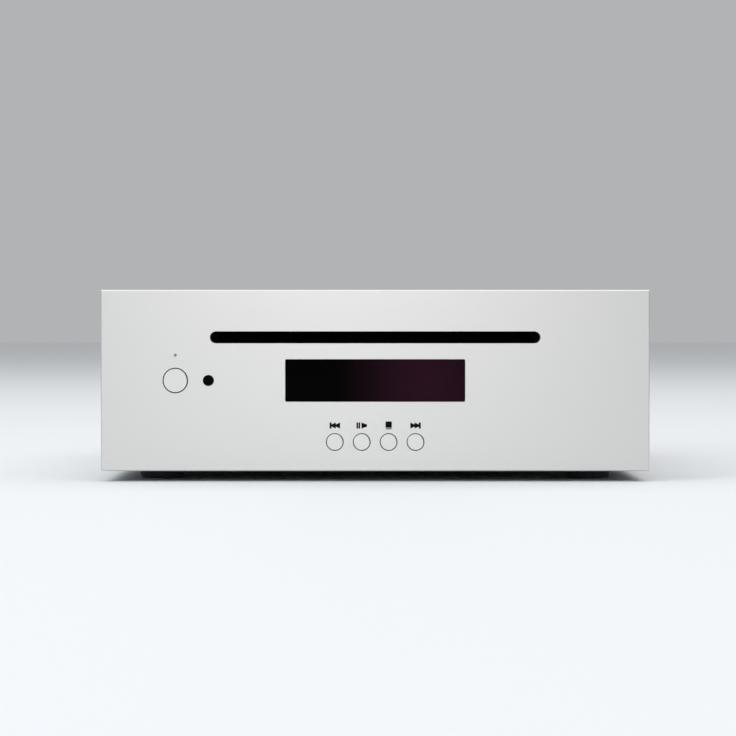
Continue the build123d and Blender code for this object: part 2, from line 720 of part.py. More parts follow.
def pulley(width):
    """A flanged belt pulley along +Z from zero, with no bore."""
    rim = Pos(0, 0, 0.3) * Cylinder(pulley_rim_radius, 0.6)
    return Pos(0, 0, width / 2) * Cylinder(pulley_radius, width) + rim + Pos(0, 0, width - 0.6) * rim


def roller_shaft():
    """Feed-roller shaft with its belt pulley at the right-hand end."""
    shaft = rod_x_axis(roller_shaft_radius, -lever_x - lever_plate - 1.0, pulley_x + pulley_width + 0.4,
                       roller_y, roller_z)
    return shaft + along_x(pulley(pulley_width), pulley_x, roller_y, roller_z)


def roller_sleeves():
    """Two rubber sleeves on the shaft, tapered so that only the disc's edge is touched."""
    length = disc_diameter / 2
    sleeve = Pos(0, 0, length / 2) * Cone(roller_waist_radius, roller_radius, length)
    sleeve -= Pos(0, 0, length / 2) * Cylinder(roller_shaft_radius, length + 2)
    right = along_x(sleeve, 2.0, roller_y, roller_z)
    return joined([right, mirror(right, about=Plane.YZ)])


def roller_belt():
    """Flat rubber belt between the two pulleys."""
    inner = pulley_radius + belt_slack
    outer = inner + belt_thickness
    width = pulley_width - 1.4
    span = (lever_length ** 2 + lever_fall ** 2) ** 0.5

    def loop(radius):
        outline = extrude(SlotOverall(span + 2 * radius, 2 * radius), amount=width)
        return Rot(0, 90, 0) * Rot(0, 0, 90) * outline

    belt = loop(outer) - loop(inner)
    middle = Pos(pulley_x + 0.7, (pivot_y + roller_y) / 2, (pivot_z + roller_z) / 2)
    return middle * Rot(lever_angle, 0, 0) * belt


def pulley_gear():
    """Moulded gear and belt pulley that turn on the lever's shaft."""
    length = gear_x + gear_width - pulley_x
    body = pulley(pulley_width) + Pos(0, 0, length / 2) * Cylinder(2.8, length)
    body += Pos(0, 0, gear_x - pulley_x) * Rot(0, 0, 90) * gear(pivot_gear_teeth, gear_module, gear_width)
    body -= Pos(0, 0, length / 2) * Cylinder(roller_shaft_radius + running_gap, length + 2)
    return along_x(body, pulley_x, pivot_y, pivot_z)


def loading_motor():
    """Small round motor that drives the feed roller."""
    end = lever_x + lever_plate
    body = rod_x_axis(loading_motor_radius, end - loading_motor_length, end, loading_motor_y, pivot_z)
    return body - rod_x_axis(1.0, end - 8.0, end + 1, loading_motor_y, pivot_z)


def loading_pinion():
    """Motor shaft and pinion, turning in the motor's bush."""
    end = lever_x + lever_plate
    wheel = Rot(0, 0, -90 + 180 / motor_gear_teeth) * gear(motor_gear_teeth, gear_module, gear_width)
    shaft = rod_x_axis(0.95, end - 7.5, gear_x + gear_width, loading_motor_y, pivot_z)
    return shaft + along_x(wheel, gear_x, loading_motor_y, pivot_z)


# --- Clamp --------------------------------------------------------------------------------------------
def clamp_opened(piece):
    """Lifts a piece of the clamp from its closed place to its open one, about the clamp's pin."""
    pin = Pos(0, clamp_pin_y, clamp_pin_z)
    return pin * Rot(-clamp_open_angle, 0, 0) * Pos(0, -clamp_pin_y, -clamp_pin_z) * piece


def clamp_arm():
    """Pressed-steel arm that carries the clamp puck, raised ready for a disc."""
    low = lid_top + 1.0
    arm = block(-clamp_half_width, clamp_half_width, disc_y - 8.0, clamp_pin_y + 3.0, low, low + 1.0)
    arm -= rod_z_axis(puck_stem_radius + 0.6, low - 1, low + 2, 0, disc_y)
    arm -= block(-6, 6, disc_y + 14, clamp_pin_y - 8, low - 1, low + 2)
    for side in (-1, 1):
        x0, x1 = side * (clamp_half_width - 1.2), side * clamp_half_width
        arm += block(x0, x1, clamp_pin_y - 3, clamp_pin_y + 3, low, clamp_pin_z + 1.8)
    arm -= rod_x_axis(clamp_pin_radius + running_gap, -30, 30, clamp_pin_y, clamp_pin_z)
    return clamp_opened(arm)


def clamp_puck():
    """Moulded puck that presses the disc on the turntable and turns with it."""
    arm_low = lid_top + 1.0
    puck = rod_z_axis(puck_radius, puck_low, puck_low + puck_thickness, 0, disc_y)
    puck -= rod_z_axis(hub_radius + 0.4, puck_low - 1, puck_low + 1.0, 0, disc_y)
    puck += rod_z_axis(puck_stem_radius, puck_low + puck_thickness, arm_low + 1.3, 0, disc_y)
    puck += rod_z_axis(puck_stem_radius + 2.0, arm_low + 1.3, arm_low + 2.0, 0, disc_y)
    return clamp_opened(puck)


# --- Pickup -------------------------------------------------------------------------------------------
sled_high = frame_top - 0.2
sled_low = sled_high - sled_height
rod_z = (sled_low + sled_high) / 2
lens_y = disc_y + lens_inner_radius
rack_x = -sled_half_width - 2.0
rack_z = (sled_low + 0.6, sled_low + 2.6)
sled_gear_x = rack_x - rack_module * sled_gear_teeth / 2 - 0.05
sled_gear_y = sled_inner_y + rack_length / 2 - 7.0 + sled_travel / 2
big_gear_z = sled_low - 2.4
sled_motor_y = sled_gear_y + gear_module * (sled_gear_big_teeth + motor_gear_teeth) / 2 + 0.05
shelf_top = big_gear_z - 0.3


def pickup_frame():
    """Cast frame under the deck for the spindle motor, the guide rods and the sled's gears."""
    frame = block(-frame_half_width, frame_half_width, frame_front_y, deck_rear_y, frame_low, frame_top)
    window = sled_half_width + 2.0
    frame -= block(-window, window, *frame_window_y, frame_low - 1, frame_top + 1)
    frame -= rod_z_axis(3.0, frame_low - 1, frame_top + 1, 0, disc_y)
    for x in (-rod_x, rod_x):
        frame += block(x - 3.5, x + 3.5, frame_window_y[0] - 6.0, frame_window_y[0], sled_low, frame_low)
        frame += block(x - 3.5, x + 3.5, frame_window_y[1], deck_rear_y, sled_low, frame_low)
        frame -= rod_y_axis(rod_radius, frame_window_y[0] - 5.0, frame_window_y[1] + 3.0, x, rod_z)
    frame += rod_z_axis(1.0, big_gear_z - 0.3, frame_low, sled_gear_x, sled_gear_y)
    shelf_y = (sled_motor_y - 5.5, sled_motor_y + 6.5)
    frame += block(-frame_half_width, sled_gear_x + 6.5, *shelf_y, shelf_top - frame_plate, shelf_top)
    frame += block(-frame_half_width, 1.2 - frame_half_width, *shelf_y, shelf_top - frame_plate, frame_top)
    return frame - rod_z_axis(2.2, shelf_top - 3, shelf_top + 1, sled_gear_x, sled_motor_y)


def guide_rods():
    """Two ground steel rods that the sled slides on."""
    return joined([rod_y_axis(rod_radius, frame_window_y[0] - 5.0, frame_window_y[1] + 3.0, x, rod_z)
                   for x in (-rod_x, rod_x)])


def spindle_motor():
    """Flat brushless motor under the turntable."""
    body = rod_z_axis(spindle_motor_radius, frame_low - spindle_motor_height, frame_low, 0, disc_y)
    return body - rod_z_axis(1.3, frame_low - 4.0, frame_low + 1, 0, disc_y)


def turntable():
    """Platter, centring cone and spindle."""
    platter = rod_z_axis(platter_radius, platter_top - platter_thickness, platter_top, 0, disc_y)
    cone = Pos(0, disc_y, platter_top + hub_rise / 2) * Cone(hub_radius, hub_radius - 1.4, hub_rise)
    return platter + cone + rod_z_axis(1.2, frame_low - 3.5, platter_top, 0, disc_y)


def pickup_sled():
    """Die-cast sled with the laser optics, two rod bushes and a rack."""
    y0, y1 = sled_inner_y, sled_inner_y + sled_length
    body = block(-sled_half_width, sled_half_width, y0, y1, sled_low, sled_high)
    body -= block(-16, 16, y0 + 15, y0 + 27, sled_low - 1, sled_low + 4)
    for y in (lens_y - 5.9, lens_y + 5.9):
        body += block(-4.5, 4.5, y - 0.7, y + 0.7, sled_high, sled_high + 3.0)
    for x in (-rod_x, rod_x):
        body -= rod_y_axis(rod_radius + running_gap, y0 - 1, y1 + 1, x, rod_z)
    return body + rack()


def rack():
    """Rack along the sled's left side, its teeth facing -X, with a gap level with the sled gear."""
    pitch = pi * rack_module
    root_x = rack_x + gear_dedendum * rack_module
    tip_x = rack_x - gear_addendum * rack_module
    start = sled_inner_y - 7.0
    slope = tan(pressure_angle)
    half = pitch / 4 - gear_backlash / 2
    outline = [(-sled_half_width + 0.5, start), (root_x, start)]
    first = int((start - sled_gear_y) / pitch) + 1
    last = int((start + rack_length - sled_gear_y) / pitch)
    for i in range(first, last):
        middle = sled_gear_y + pitch * (i + 0.5)
        root_half = half + slope * gear_dedendum * rack_module
        tip_half = half - slope * gear_addendum * rack_module
        outline += [(root_x, middle - root_half), (tip_x, middle - tip_half),
                    (tip_x, middle + tip_half), (root_x, middle + root_half)]
    outline += [(root_x, start + rack_length), (-sled_half_width + 0.5, start + rack_length)]
    teeth = extrude(make_face(Polyline(*outline, close=True)), amount=rack_z[1] - rack_z[0])
    return Pos(0, 0, rack_z[0]) * teeth


def objective_lens():
    """Lens in its floating holder, free to focus up and down."""
    low = sled_high + 1.2
    holder = block(-4.2, 4.2, lens_y - 4.2, lens_y + 4.2, low, low + 2.2)
    lens = rod_z_axis(lens_radius, low + 2.2, low + 3.1, 0, lens_y)
    return holder + fillet(lens.edges().group_by(Axis.Z)[-1], 0.6)


def sled_gear():
    """Compound gear: the small wheel meshes with the rack and the large one with the motor's pinion."""
    small = Pos(0, 0, rack_z[0] - 0.2) * gear(sled_gear_teeth, rack_module, 2.4)
    large = Pos(0, 0, big_gear_z) * Rot(0, 0, 90) * gear(sled_gear_big_teeth, gear_module, gear_width)
    hub = Pos(0, 0, (big_gear_z + rack_z[1]) / 2) * Cylinder(2.6, rack_z[1] - big_gear_z)
    bore = Pos(0, 0, big_gear_z + 3) * Cylinder(1.0 + running_gap, 20)
    return Pos(sled_gear_x, sled_gear_y, 0) * (small + large + hub - bore)


def sled_motor():
    """Small motor that moves the sled, under the frame's shelf."""
    top = shelf_top - frame_plate
    body = rod_z_axis(sled_motor_radius, top - sled_motor_length, top, sled_gear_x, sled_motor_y)
    return body - rod_z_axis(0.85, top - 6.0, top + 1, sled_gear_x, sled_motor_y)


def sled_pinion():
    """The sled motor's shaft and pinion."""
    wheel = Pos(0, 0, big_gear_z) * Rot(0, 0, -90 + 180 / motor_gear_teeth) * gear(
        motor_gear_teeth, gear_module, gear_width)
    shaft = rod_z_axis(0.8, shelf_top - frame_plate - 5.5, big_gear_z + gear_width, sled_gear_x, sled_motor_y)
    return Pos(sled_gear_x, sled_motor_y, 0) * wheel + shaft


# --- Electronics and rear connectors ------------------------------------------------------------------
board_top = main_board_z + board_thickness
shutter_y = rear_y - 0.9
shutter_z = jack_z + optical_bore / 2 - 0.75


def main_board():
    """Main circuit board for the supply, the converter and the outputs."""
    board = block(-main_board_half_width, main_board_half_width, main_board_rear_y - main_board_length,
                  main_board_rear_y, main_board_z, board_top)
    for x, y in standoff_places:
        board -= rod_z_axis(screw_hole_radius, main_board_z - 1, board_top + 1, x, y)
    return board


def board_standoffs():
    """Brass posts under the main board, and between the steel panel and the control board."""
    post = Pos(0, 0, standoff_height / 2) * (
        Cylinder(3.0, standoff_height) - Cylinder(screw_hole_radius, standoff_height + 2))
    posts = [Pos(x, y, floor_z) * post for x, y in standoff_places]
    for x in (control_board_left + 3.0, control_board_right - 3.0):
        for z in (base_z + flange_height + 3.0, deck_top - 3.5):
            posts.append(rod_y_axis(2.2, back_y + sheet, control_board_y, x, z))
    return joined(posts)


def jack_board():
    """Upright circuit board that the rear connectors are soldered to, standing on the main board."""
    y1 = rear_inner_y - connector_depth
    half, foot_half = jack_board_half_width, jack_board_half_width - 10.0
    board = block(-half, half, y1 - board_thickness, y1, board_top + 2.5, jack_z + 8.0)
    return board + block(-foot_half, foot_half, y1 - board_thickness, y1, board_top, board_top + 2.5)


def capacitors():
    """Six electrolytic capacitors in the supply."""
    return joined([chamfer(rod_z_axis(5.0, board_top, board_top + 14.0, x, main_board_rear_y - back)
                           .edges().group_by(Axis.Z)[-1], 0.5)
                   for x in (22.0, 35.0, 48.0) for back in (20.0, 33.0)])


def board_chips():
    """Integrated circuits on the main board."""
    chips = [(-40.0, -20.0, 14.0), (-10.0, -24.0, 10.0), (24.0, -18.0, 12.0)]
    chips += [(-46.0, 24.0, 9.0), (-6.0, 20.0, 7.0)]
    middle = main_board_rear_y - main_board_length / 2
    return joined([block(x - size / 2, x + size / 2, middle + y - size / 2, middle + y + size / 2,
                         board_top, board_top + 1.8) for x, y, size in chips])


def heat_sink():
    """Finned aluminium heat sink of the voltage regulators."""
    y0 = main_board_rear_y - 34.0
    sink = block(-14.0, 6.0, y0, y0 + 12.0, board_top, board_top + 16.0)
    for i in range(4):
        sink -= block(-12.0 + 4.6 * i, -9.4 + 4.6 * i, y0 + 2.5, y0 + 13.0, board_top - 1, board_top + 17.0)
    return sink


def ribbon_sockets():
    """The two sockets of the control board's flat cable."""
    back = control_board_y + board_thickness
    board_front = main_board_rear_y - main_board_length
    return joined([block(-62, -38, back, back + 3.0, transport_z + 10.0, transport_z + 13.0),
                   block(-62, -38, board_front + 3.0, board_front + 7.0, board_top, board_top + 3.0)])


def control_cable():
    """Flat cable from the control board down and back to the main board."""
    y0 = control_board_y + board_thickness + 1.5
    z0 = board_top + 1.4
    y1, z1 = main_board_rear_y - main_board_length + 3.0, transport_z + 10.0
    cable = block(-59, -41, y0, y1, z0, z1)
    corner = cable.edges().filter_by(Axis.X).group_by(Axis.Z)[0].sort_by(Axis.Y)[0]
    cable = fillet(corner, 1.8)
    inside = block(-60, -40, y0 + 0.3, y1 + 1, z0 + 0.3, z1 + 1)
    corner = inside.edges().filter_by(Axis.X).group_by(Axis.Z)[0].sort_by(Axis.Y)[0]
    return cable - fillet(corner, 1.5)


def rca_jacks():
    """Three gold-plated phono sockets: the thicker sleeve stands outside the rear panel."""
    jacks = []
    for x in jack_x:
        outside = rear_y + jack_washer_height
        sleeve = rod_y_axis(jack_radius, outside, rear_y + jack_reach, x, jack_z)
        sleeve = chamfer(sleeve.edges().group_by(Axis.Y)[-1], 0.3)
        sleeve += rod_y_axis(jack_neck_radius, rear_inner_y - 8.0, outside, x, jack_z)
        jacks.append(sleeve - rod_y_axis(jack_radius - 0.85, rear_inner_y - 9.0, rear_y + 9.0, x, jack_z))
    return joined(jacks)


def rca_inserts():
    """Insulating inserts of the phono sockets with the hole for the plug's pin, and their housings."""
    inserts = []
    for x in jack_x:
        insert = rod_y_axis(jack_radius - 0.85, rear_inner_y - 8.0, rear_y + jack_reach - 1.0, x, jack_z)
        insert -= rod_y_axis(1.65, rear_inner_y - 4.0, rear_y + 9.0, x, jack_z)
        half = jack_housing / 2
        insert += block(x - half, x + half, rear_inner_y - connector_depth, rear_inner_y - 8.0,
                        jack_z - half, jack_z + half)
        inserts.append(insert)
    return joined(inserts)


def jack_washers():
    """Coloured collars between the phono sockets and the rear panel."""
    return joined([rod_y_axis(jack_washer_radius, rear_y, rear_y + jack_washer_height, x, jack_z)
                   - rod_y_axis(jack_neck_radius, rear_y - 1, rear_y + 3, x, jack_z) for x in jack_x])


def optical_socket():
    """Optical output: a black moulding with a square bore behind its shutter."""
    half, bore = optical_outer / 2, optical_bore / 2
    body = block(optical_x - half, optical_x + half, rear_inner_y - connector_depth, rear_y + 0.4,
                 jack_z - half, jack_z + half)
    x0, x1 = optical_x - bore, optical_x + bore
    body -= block(x0, x1, rear_y - optical_depth, rear_y + 1, jack_z - bore, jack_z + bore)
    return body - rod_x_axis(0.66, x0 - 0.9, x1 + 0.9, shutter_y, shutter_z)


def optical_shutter():
    """Spring-loaded shutter that swings in when a plug is pushed home."""
    half = optical_bore / 2 - 0.2
    plate = block(optical_x - half, optical_x + half, shutter_y - 0.4, shutter_y + 0.4,
                  jack_z - optical_bore / 2 + 0.25, shutter_z)
    return plate + rod_x_axis(0.6, optical_x - half - 0.8, optical_x + half + 0.8, shutter_y, shutter_z)


def power_inlet():
    """Low-voltage power inlet with a round collar through the rear panel, and its centre pin."""
    front = rear_inner_y - connector_depth
    body = block(inlet_x - 6.0, inlet_x + 6.0, front, rear_inner_y, jack_z - 6.0, jack_z + 6.0)
    body += rod_y_axis(inlet_radius + 1.8, rear_inner_y, rear_y + inlet_proud, inlet_x, jack_z)
    body -= rod_y_axis(inlet_radius, rear_y - 10.0, rear_y + 3, inlet_x, jack_z)
    return body + rod_y_axis(inlet_pin_radius, rear_y - 10.0, rear_y - 0.5, inlet_x, jack_z)


# --- Every node ---------------------------------------------------------------------------------------
nodes = {
    "front_panel": front_panel, "sub_panel": sub_panel, "base_tray": base_tray, "top_cover": top_cover,
    "rear_panel": rear_panel, "feet": feet, "case_screws": case_screws,
    "chassis_screws": chassis_screws, "switches": switches, "control_board": control_board,
    "display_window": display_window, "display_tube": display_tube, "infrared_window": infrared_window,
    "infrared_receiver": infrared_receiver, "lamp_pipe": lamp_pipe, "slot_bezel": slot_bezel,
    "slot_felts": slot_felts, "drive_brackets": drive_brackets, "rubber_dampers": rubber_dampers,
    "drive_deck": drive_deck, "drive_lid": drive_lid, "disc_guides": disc_guides,
    "hinge_pins": hinge_pins, "roller_lever": roller_lever, "roller_shaft": roller_shaft,
    "roller_sleeves": roller_sleeves, "roller_belt": roller_belt, "pulley_gear": pulley_gear,
    "loading_motor": loading_motor, "loading_pinion": loading_pinion, "clamp_arm": clamp_arm,
    "clamp_puck": clamp_puck, "pickup_frame": pickup_frame, "guide_rods": guide_rods,
    "spindle_motor": spindle_motor, "turntable": turntable, "pickup_sled": pickup_sled,
    "objective_lens": objective_lens, "sled_gear": sled_gear, "sled_motor": sled_motor,
    "sled_pinion": sled_pinion, "main_board": main_board, "board_standoffs": board_standoffs,
    "jack_board": jack_board, "capacitors": capacitors, "board_chips": board_chips, "heat_sink": heat_sink,
    "ribbon_sockets": ribbon_sockets, "control_cable": control_cable, "rca_jacks": rca_jacks,
    "rca_inserts": rca_inserts, "jack_washers": jack_washers, "optical_socket": optical_socket,
    "optical_shutter": optical_shutter, "power_inlet": power_inlet,
}
for name, seat in button_seats().items():
    nodes[name] = lambda seat=seat: button(*seat)

os.makedirs("parts", exist_ok=True)
for name, build in nodes.items():
    export_step(build(), f"parts/{name}.step")
print(len(nodes), "nodes")
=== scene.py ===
"""Looks of a compact slot-loading CD player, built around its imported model.

Lengths are in metres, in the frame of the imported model: +X is the viewer's right, +Y runs from the
fascia to the rear panel and +Z is up, with the floor at zero.
"""
import json
import logging
import math
from dataclasses import dataclass, field
from enum import Enum
from typing import Any

import bmesh
import bpy
from mathutils import Matrix, Vector


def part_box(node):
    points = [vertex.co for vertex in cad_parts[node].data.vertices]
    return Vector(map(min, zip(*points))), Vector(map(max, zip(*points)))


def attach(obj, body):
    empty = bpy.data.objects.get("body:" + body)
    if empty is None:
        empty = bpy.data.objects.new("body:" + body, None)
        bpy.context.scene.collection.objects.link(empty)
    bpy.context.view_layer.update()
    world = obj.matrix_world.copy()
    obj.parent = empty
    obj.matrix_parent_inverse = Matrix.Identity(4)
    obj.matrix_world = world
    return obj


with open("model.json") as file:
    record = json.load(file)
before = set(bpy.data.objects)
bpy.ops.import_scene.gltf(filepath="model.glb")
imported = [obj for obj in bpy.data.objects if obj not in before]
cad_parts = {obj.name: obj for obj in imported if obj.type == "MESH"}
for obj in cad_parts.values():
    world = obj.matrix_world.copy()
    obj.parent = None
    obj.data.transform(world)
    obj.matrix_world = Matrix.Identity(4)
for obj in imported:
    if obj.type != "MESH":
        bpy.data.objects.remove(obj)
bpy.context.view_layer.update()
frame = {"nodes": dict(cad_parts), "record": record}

log = logging.getLogger("cd_player")
MM = 0.001
CASE = "case"
INK_HEIGHT = 0.02 * MM
INK_SUNK = 0.005 * MM
ARC_STEP = 6.0
FEWEST_ARC_STEPS = 12
MIX_COLOUR_INPUTS = (6, 7)
MIX_COLOUR_OUTPUT = 2
Triple = tuple[float, float, float]
Colour = Triple
Outline = list[tuple[float, float]]


# --- Shader building --------------------------------------------------------------------------------
class Signal:
    """A number carried by a socket, on which arithmetic adds Math nodes."""

    def __init__(self, tree: "Tree", socket: bpy.types.NodeSocket) -> None:
        """Keeps the tree and the socket that carries the number."""
        self.tree = tree
        self.socket = socket

    def math(self, operation: str, *values: "Signal | float") -> "Signal":
        """Adds one Math node.

        Args:
            operation: The Math node's operation.
            values: The node's values in order, among them this signal.

        Returns:
            The node's result.
        """
        settings = {"operation": operation}
        return self.tree.node("ShaderNodeMath", settings, dict(enumerate(values))).signal("Value")

    def __add__(self, other: "Signal | float") -> "Signal":
        """Adds a value."""
        return self.math("ADD", self, other)

    def __radd__(self, other: float) -> "Signal":
        """Is added to a value."""
        return self.math("ADD", other, self)

    def __sub__(self, other: "Signal | float") -> "Signal":
        """Subtracts a value."""
        return self.math("SUBTRACT", self, other)

    def __rsub__(self, other: float) -> "Signal":
        """Is subtracted from a value."""
        return self.math("SUBTRACT", other, self)

    def __mul__(self, other: "Signal | float") -> "Signal":
        """Multiplies by a value."""
        return self.math("MULTIPLY", self, other)

    def __rmul__(self, other: float) -> "Signal":
        """Is multiplied by a value."""
        return self.math("MULTIPLY", other, self)

    def __truediv__(self, other: "Signal | float") -> "Signal":
        """Divides by a value."""
        return self.math("DIVIDE", self, other)

    def __rtruediv__(self, other: float) -> "Signal":
        """Divides a value."""
        return self.math("DIVIDE", other, self)

    def above(self, level: float) -> "Signal":
        """Is one where the signal is above a level, and zero elsewhere."""
        return self.math("GREATER_THAN", self, level)

    def softened(self) -> "Signal":
        """Rises smoothly from zero to one, and stays there outside.

        Returns:
            The softened signal.
        """
        inputs = {"Value": self}
        settings = {"interpolation_type": "SMOOTHSTEP"}
        return self.tree.node("ShaderNodeMapRange", settings, inputs).signal("Result")

    def distance(self, place: float) -> "Signal":
        """The distance from a value, never negative."""
        return self.math("ABSOLUTE", self - place)


class Node:
    """A node whose outputs are asked for by name."""

    def __init__(self, tree: "Tree", node: bpy.types.Node) -> None:
        """Keeps the tree and its node."""
        self.tree = tree
        self.node = node

    def signal(self, name: str) -> Signal:
        """The output of that name, as a number."""
        return Signal(self.tree, self.node.outputs[name])

    def socket(self, name: str | int) -> bpy.types.NodeSocket:
        """The output of that name or number, as it is."""
        return self.node.outputs[name]


class Tree:
    """The node tree of one material."""

    def __init__(self, name: str) -> None:
        """Makes an empty material of that name."""
        self.material = bpy.data.materials.new(name)
        self.material.use_nodes = True
        self.nodes = self.material.node_tree.nodes
        self.links = self.material.node_tree.links
        self.nodes.clear()

    def node(self, kind: str, settings: dict[str, Any], inputs: dict[str | int, Any]) -> Node:
        """Adds a node.

        Args:
            kind: The node's Blender type.
            settings: Its properties, which are set first.
            inputs: For each input socket, a value or the socket or signal that feeds it.

        Returns:
            The new node.
        """
        made = self.nodes.new(kind)
        for key, value in settings.items():
            setattr(made, key, value)
        for key, value in inputs.items():
            target = made.inputs[key]
            if isinstance(value, Signal):
                self.links.new(value.socket, target)
            elif isinstance(value, bpy.types.NodeSocket):
                self.links.new(value, target)
            else:
                target.default_value = value
        return Node(self, made)

    def place(self) -> Node:
        """The texture coordinates."""
        return self.node("ShaderNodeTexCoord", {}, {})

    def stretched(self, stretch: Triple) -> bpy.types.NodeSocket:
        """Object coordinates multiplied along each axis.

        Args:
            stretch: The factor for each axis.

        Returns:
            The stretched vector.
        """
        inputs = {0: self.place().socket("Object"), 1: stretch}
        return self.node("ShaderNodeVectorMath", {"operation": "MULTIPLY"}, inputs).socket("Vector")

    def axes(self) -> Node:
        """Object coordinates as three separate numbers."""
        return self.node("ShaderNodeSeparateXYZ", {}, {"Vector": self.place().socket("Object")})

    def noise(self, scale: float, detail: float, stretch: Triple = (1.0, 1.0, 1.0)) -> Signal:
        """Smooth noise in the object's own space.

        Args:
            scale: Waves per metre.
            detail: Octaves.
            stretch: The factor on each axis, small along the grain.

        Returns:
            The noise, from zero to one.
        """
        inputs = {"Vector": self.stretched(stretch), "Scale": scale, "Detail": detail}
        return self.node("ShaderNodeTexNoise", {}, inputs).signal("Fac")

    def cells(self, scale: float) -> Signal:
        """Distance to the nearest of a scatter of points.

        Args:
            scale: Cells per metre.

        Returns:
            The distance, in cells.
        """
        inputs = {"Vector": self.place().socket("Object"), "Scale": scale}
        return self.node("ShaderNodeTexVoronoi", {}, inputs).signal("Distance")

    def blend(self, amount: Signal, low: Any, high: Any) -> bpy.types.NodeSocket:
        """Mixes two colours.

        Args:
            amount: How much of the second colour there is.
            low: The first colour, or the socket that carries it.
            high: The second colour, or the socket that carries it.

        Returns:
            The mixed colour.
        """
        colours = [(*colour, 1.0) if isinstance(colour, tuple) else colour for colour in (low, high)]
        inputs = {"Factor": amount, **dict(zip(MIX_COLOUR_INPUTS, colours))}
        return self.node("ShaderNodeMix", {"data_type": "RGBA"}, inputs).socket(MIX_COLOUR_OUTPUT)

    def bump(self, height: Signal, depth: float, strength: float = 1.0) -> bpy.types.NodeSocket:
        """A bumped normal.

        Args:
            height: The relief, from zero to one.
            depth: The relief's real depth in metres.
            strength: How much of the relief shows.

        Returns:
            The normal.
        """
        inputs = {"Height": height, "Distance": depth, "Strength": strength}
        return self.node("ShaderNodeBump", {}, inputs).socket("Normal")

    def surface(self, **inputs: Any) -> bpy.types.Material:
        """Ends the tree in a Principled shader.

        Args:
            inputs: The shader's sockets, with an underscore for each space.

        Returns:
            The finished material.
        """
        sockets = {key.replace("_", " "): value for key, value in inputs.items()}
        shader = self.node("ShaderNodeBsdfPrincipled", {}, sockets)
        self.node("ShaderNodeOutputMaterial", {}, {"Surface": shader.socket("BSDF")})
        return self.material


class Waves:
    """How fine each pattern is, in waves or cells per metre."""

    BRUSHED = 2600.0
    BLASTED = 5200.0
    CLOUDS = 14.0
    ROLLED = 1500.0
    SPANGLE = 180.0
    STAIN = 22.0
    TURNED = 3000.0
    PATCHES = 160.0
    PEBBLES = 2400.0
    DUST = 60.0
    MOULD_GRAIN = 3800.0
    MOULD_FLOW = 45.0
    WIPES = 260.0
    SMEARS = 35.0
    BLOOM = 240.0
    PORES = 2500.0
    FIBRES = 5200.0
    CLUMPS = 700.0
    SOLDER_MASK = 300.0
    SCREEN_MESH = 4200.0
    COLLAR_GRAIN = 3000.0
    FLOOR_GRAIN = 900.0


class Grain(Enum):
    """The direction in which a metal was brushed or rolled."""

    ALONG_X = (0.02, 1.0, 1.0)
    ALONG_Y = (1.0, 0.02, 1.0)
    EVEN = (1.0, 1.0, 1.0)


# --- Finishes ---------------------------------------------------------------------------------------
def toned(colour: Colour, factor: float, lift: float = 0.0) -> Colour:
    """A colour multiplied by a factor, and lifted by an amount."""
    return tuple(channel * factor + lift for channel in colour)


@dataclass(frozen=True)
class Finish:
    """A named finish. Each kind below builds its own material."""

    name: str

    def material(self) -> bpy.types.Material:
        """Builds the material. Each kind of finish has its own way."""
        raise NotImplementedError(self.name)


@dataclass(frozen=True)
class SatinAluminium(Finish):
    """Anodised aluminium with a very fine blasted and brushed surface."""

    colour: Colour = (0.685, 0.68, 0.672)
    roughness: float = 0.32
    grain: Grain = Grain.ALONG_X
    dulling: float = 0.965
    relief: float = 3e-6

    def material(self) -> bpy.types.Material:
        """Builds the material.

        Returns:
            The finished material.
        """
        tree = Tree(self.name)
        lines = tree.noise(Waves.BRUSHED, 3.0, self.grain.value)
        blast = tree.noise(Waves.BLASTED, 2.0)
        cloud = tree.noise(Waves.CLOUDS, 2.0)
        tone = lines * 0.5 + cloud * 0.5
        darker = toned(self.colour, self.dulling)
        return tree.surface(
            Base_Color=tree.blend(tone, darker, self.colour),
            Metallic=1.0,
            Roughness=self.roughness - 0.03 + lines * 0.05 + cloud * 0.03,
            Normal=tree.bump(lines * 0.6 + blast * 0.4, self.relief, 0.35),
        )


@dataclass(frozen=True)
class CappedButton(Finish):
    """A satin aluminium cap; its sides in the gap behind the face carry painted shade, black and dull."""

    face_y: float
    cap_depth: float = 0.25 * MM
    colour: Colour = (0.70, 0.695, 0.685)
    gap_shade_colour: Colour = (0.004, 0.004, 0.004)
    roughness: float = 0.30
    dulling: float = 0.965
    relief: float = 3e-6

    def material(self) -> bpy.types.Material:
        """Builds the material.

        Returns:
            The finished material.
        """
        tree = Tree(self.name)
        # Painted shade: behind the cap's face the button is black, dull and not metallic, so the gap round it
        # reads dark.
        painted_gap_shade = tree.axes().signal("Y").above(self.face_y + self.cap_depth)
        lines = tree.noise(Waves.BRUSHED, 3.0, Grain.ALONG_X.value)
        blast = tree.noise(Waves.BLASTED, 2.0)
        darker = toned(self.colour, self.dulling)
        return tree.surface(
            Base_Color=tree.blend(painted_gap_shade, tree.blend(lines, darker, self.colour), self.gap_shade_colour),
            Metallic=1.0 - painted_gap_shade,
            Roughness=self.roughness + lines * 0.05 + painted_gap_shade * 0.3,
            Normal=tree.bump(lines * 0.6 + blast * 0.4, self.relief, 0.35),
        )


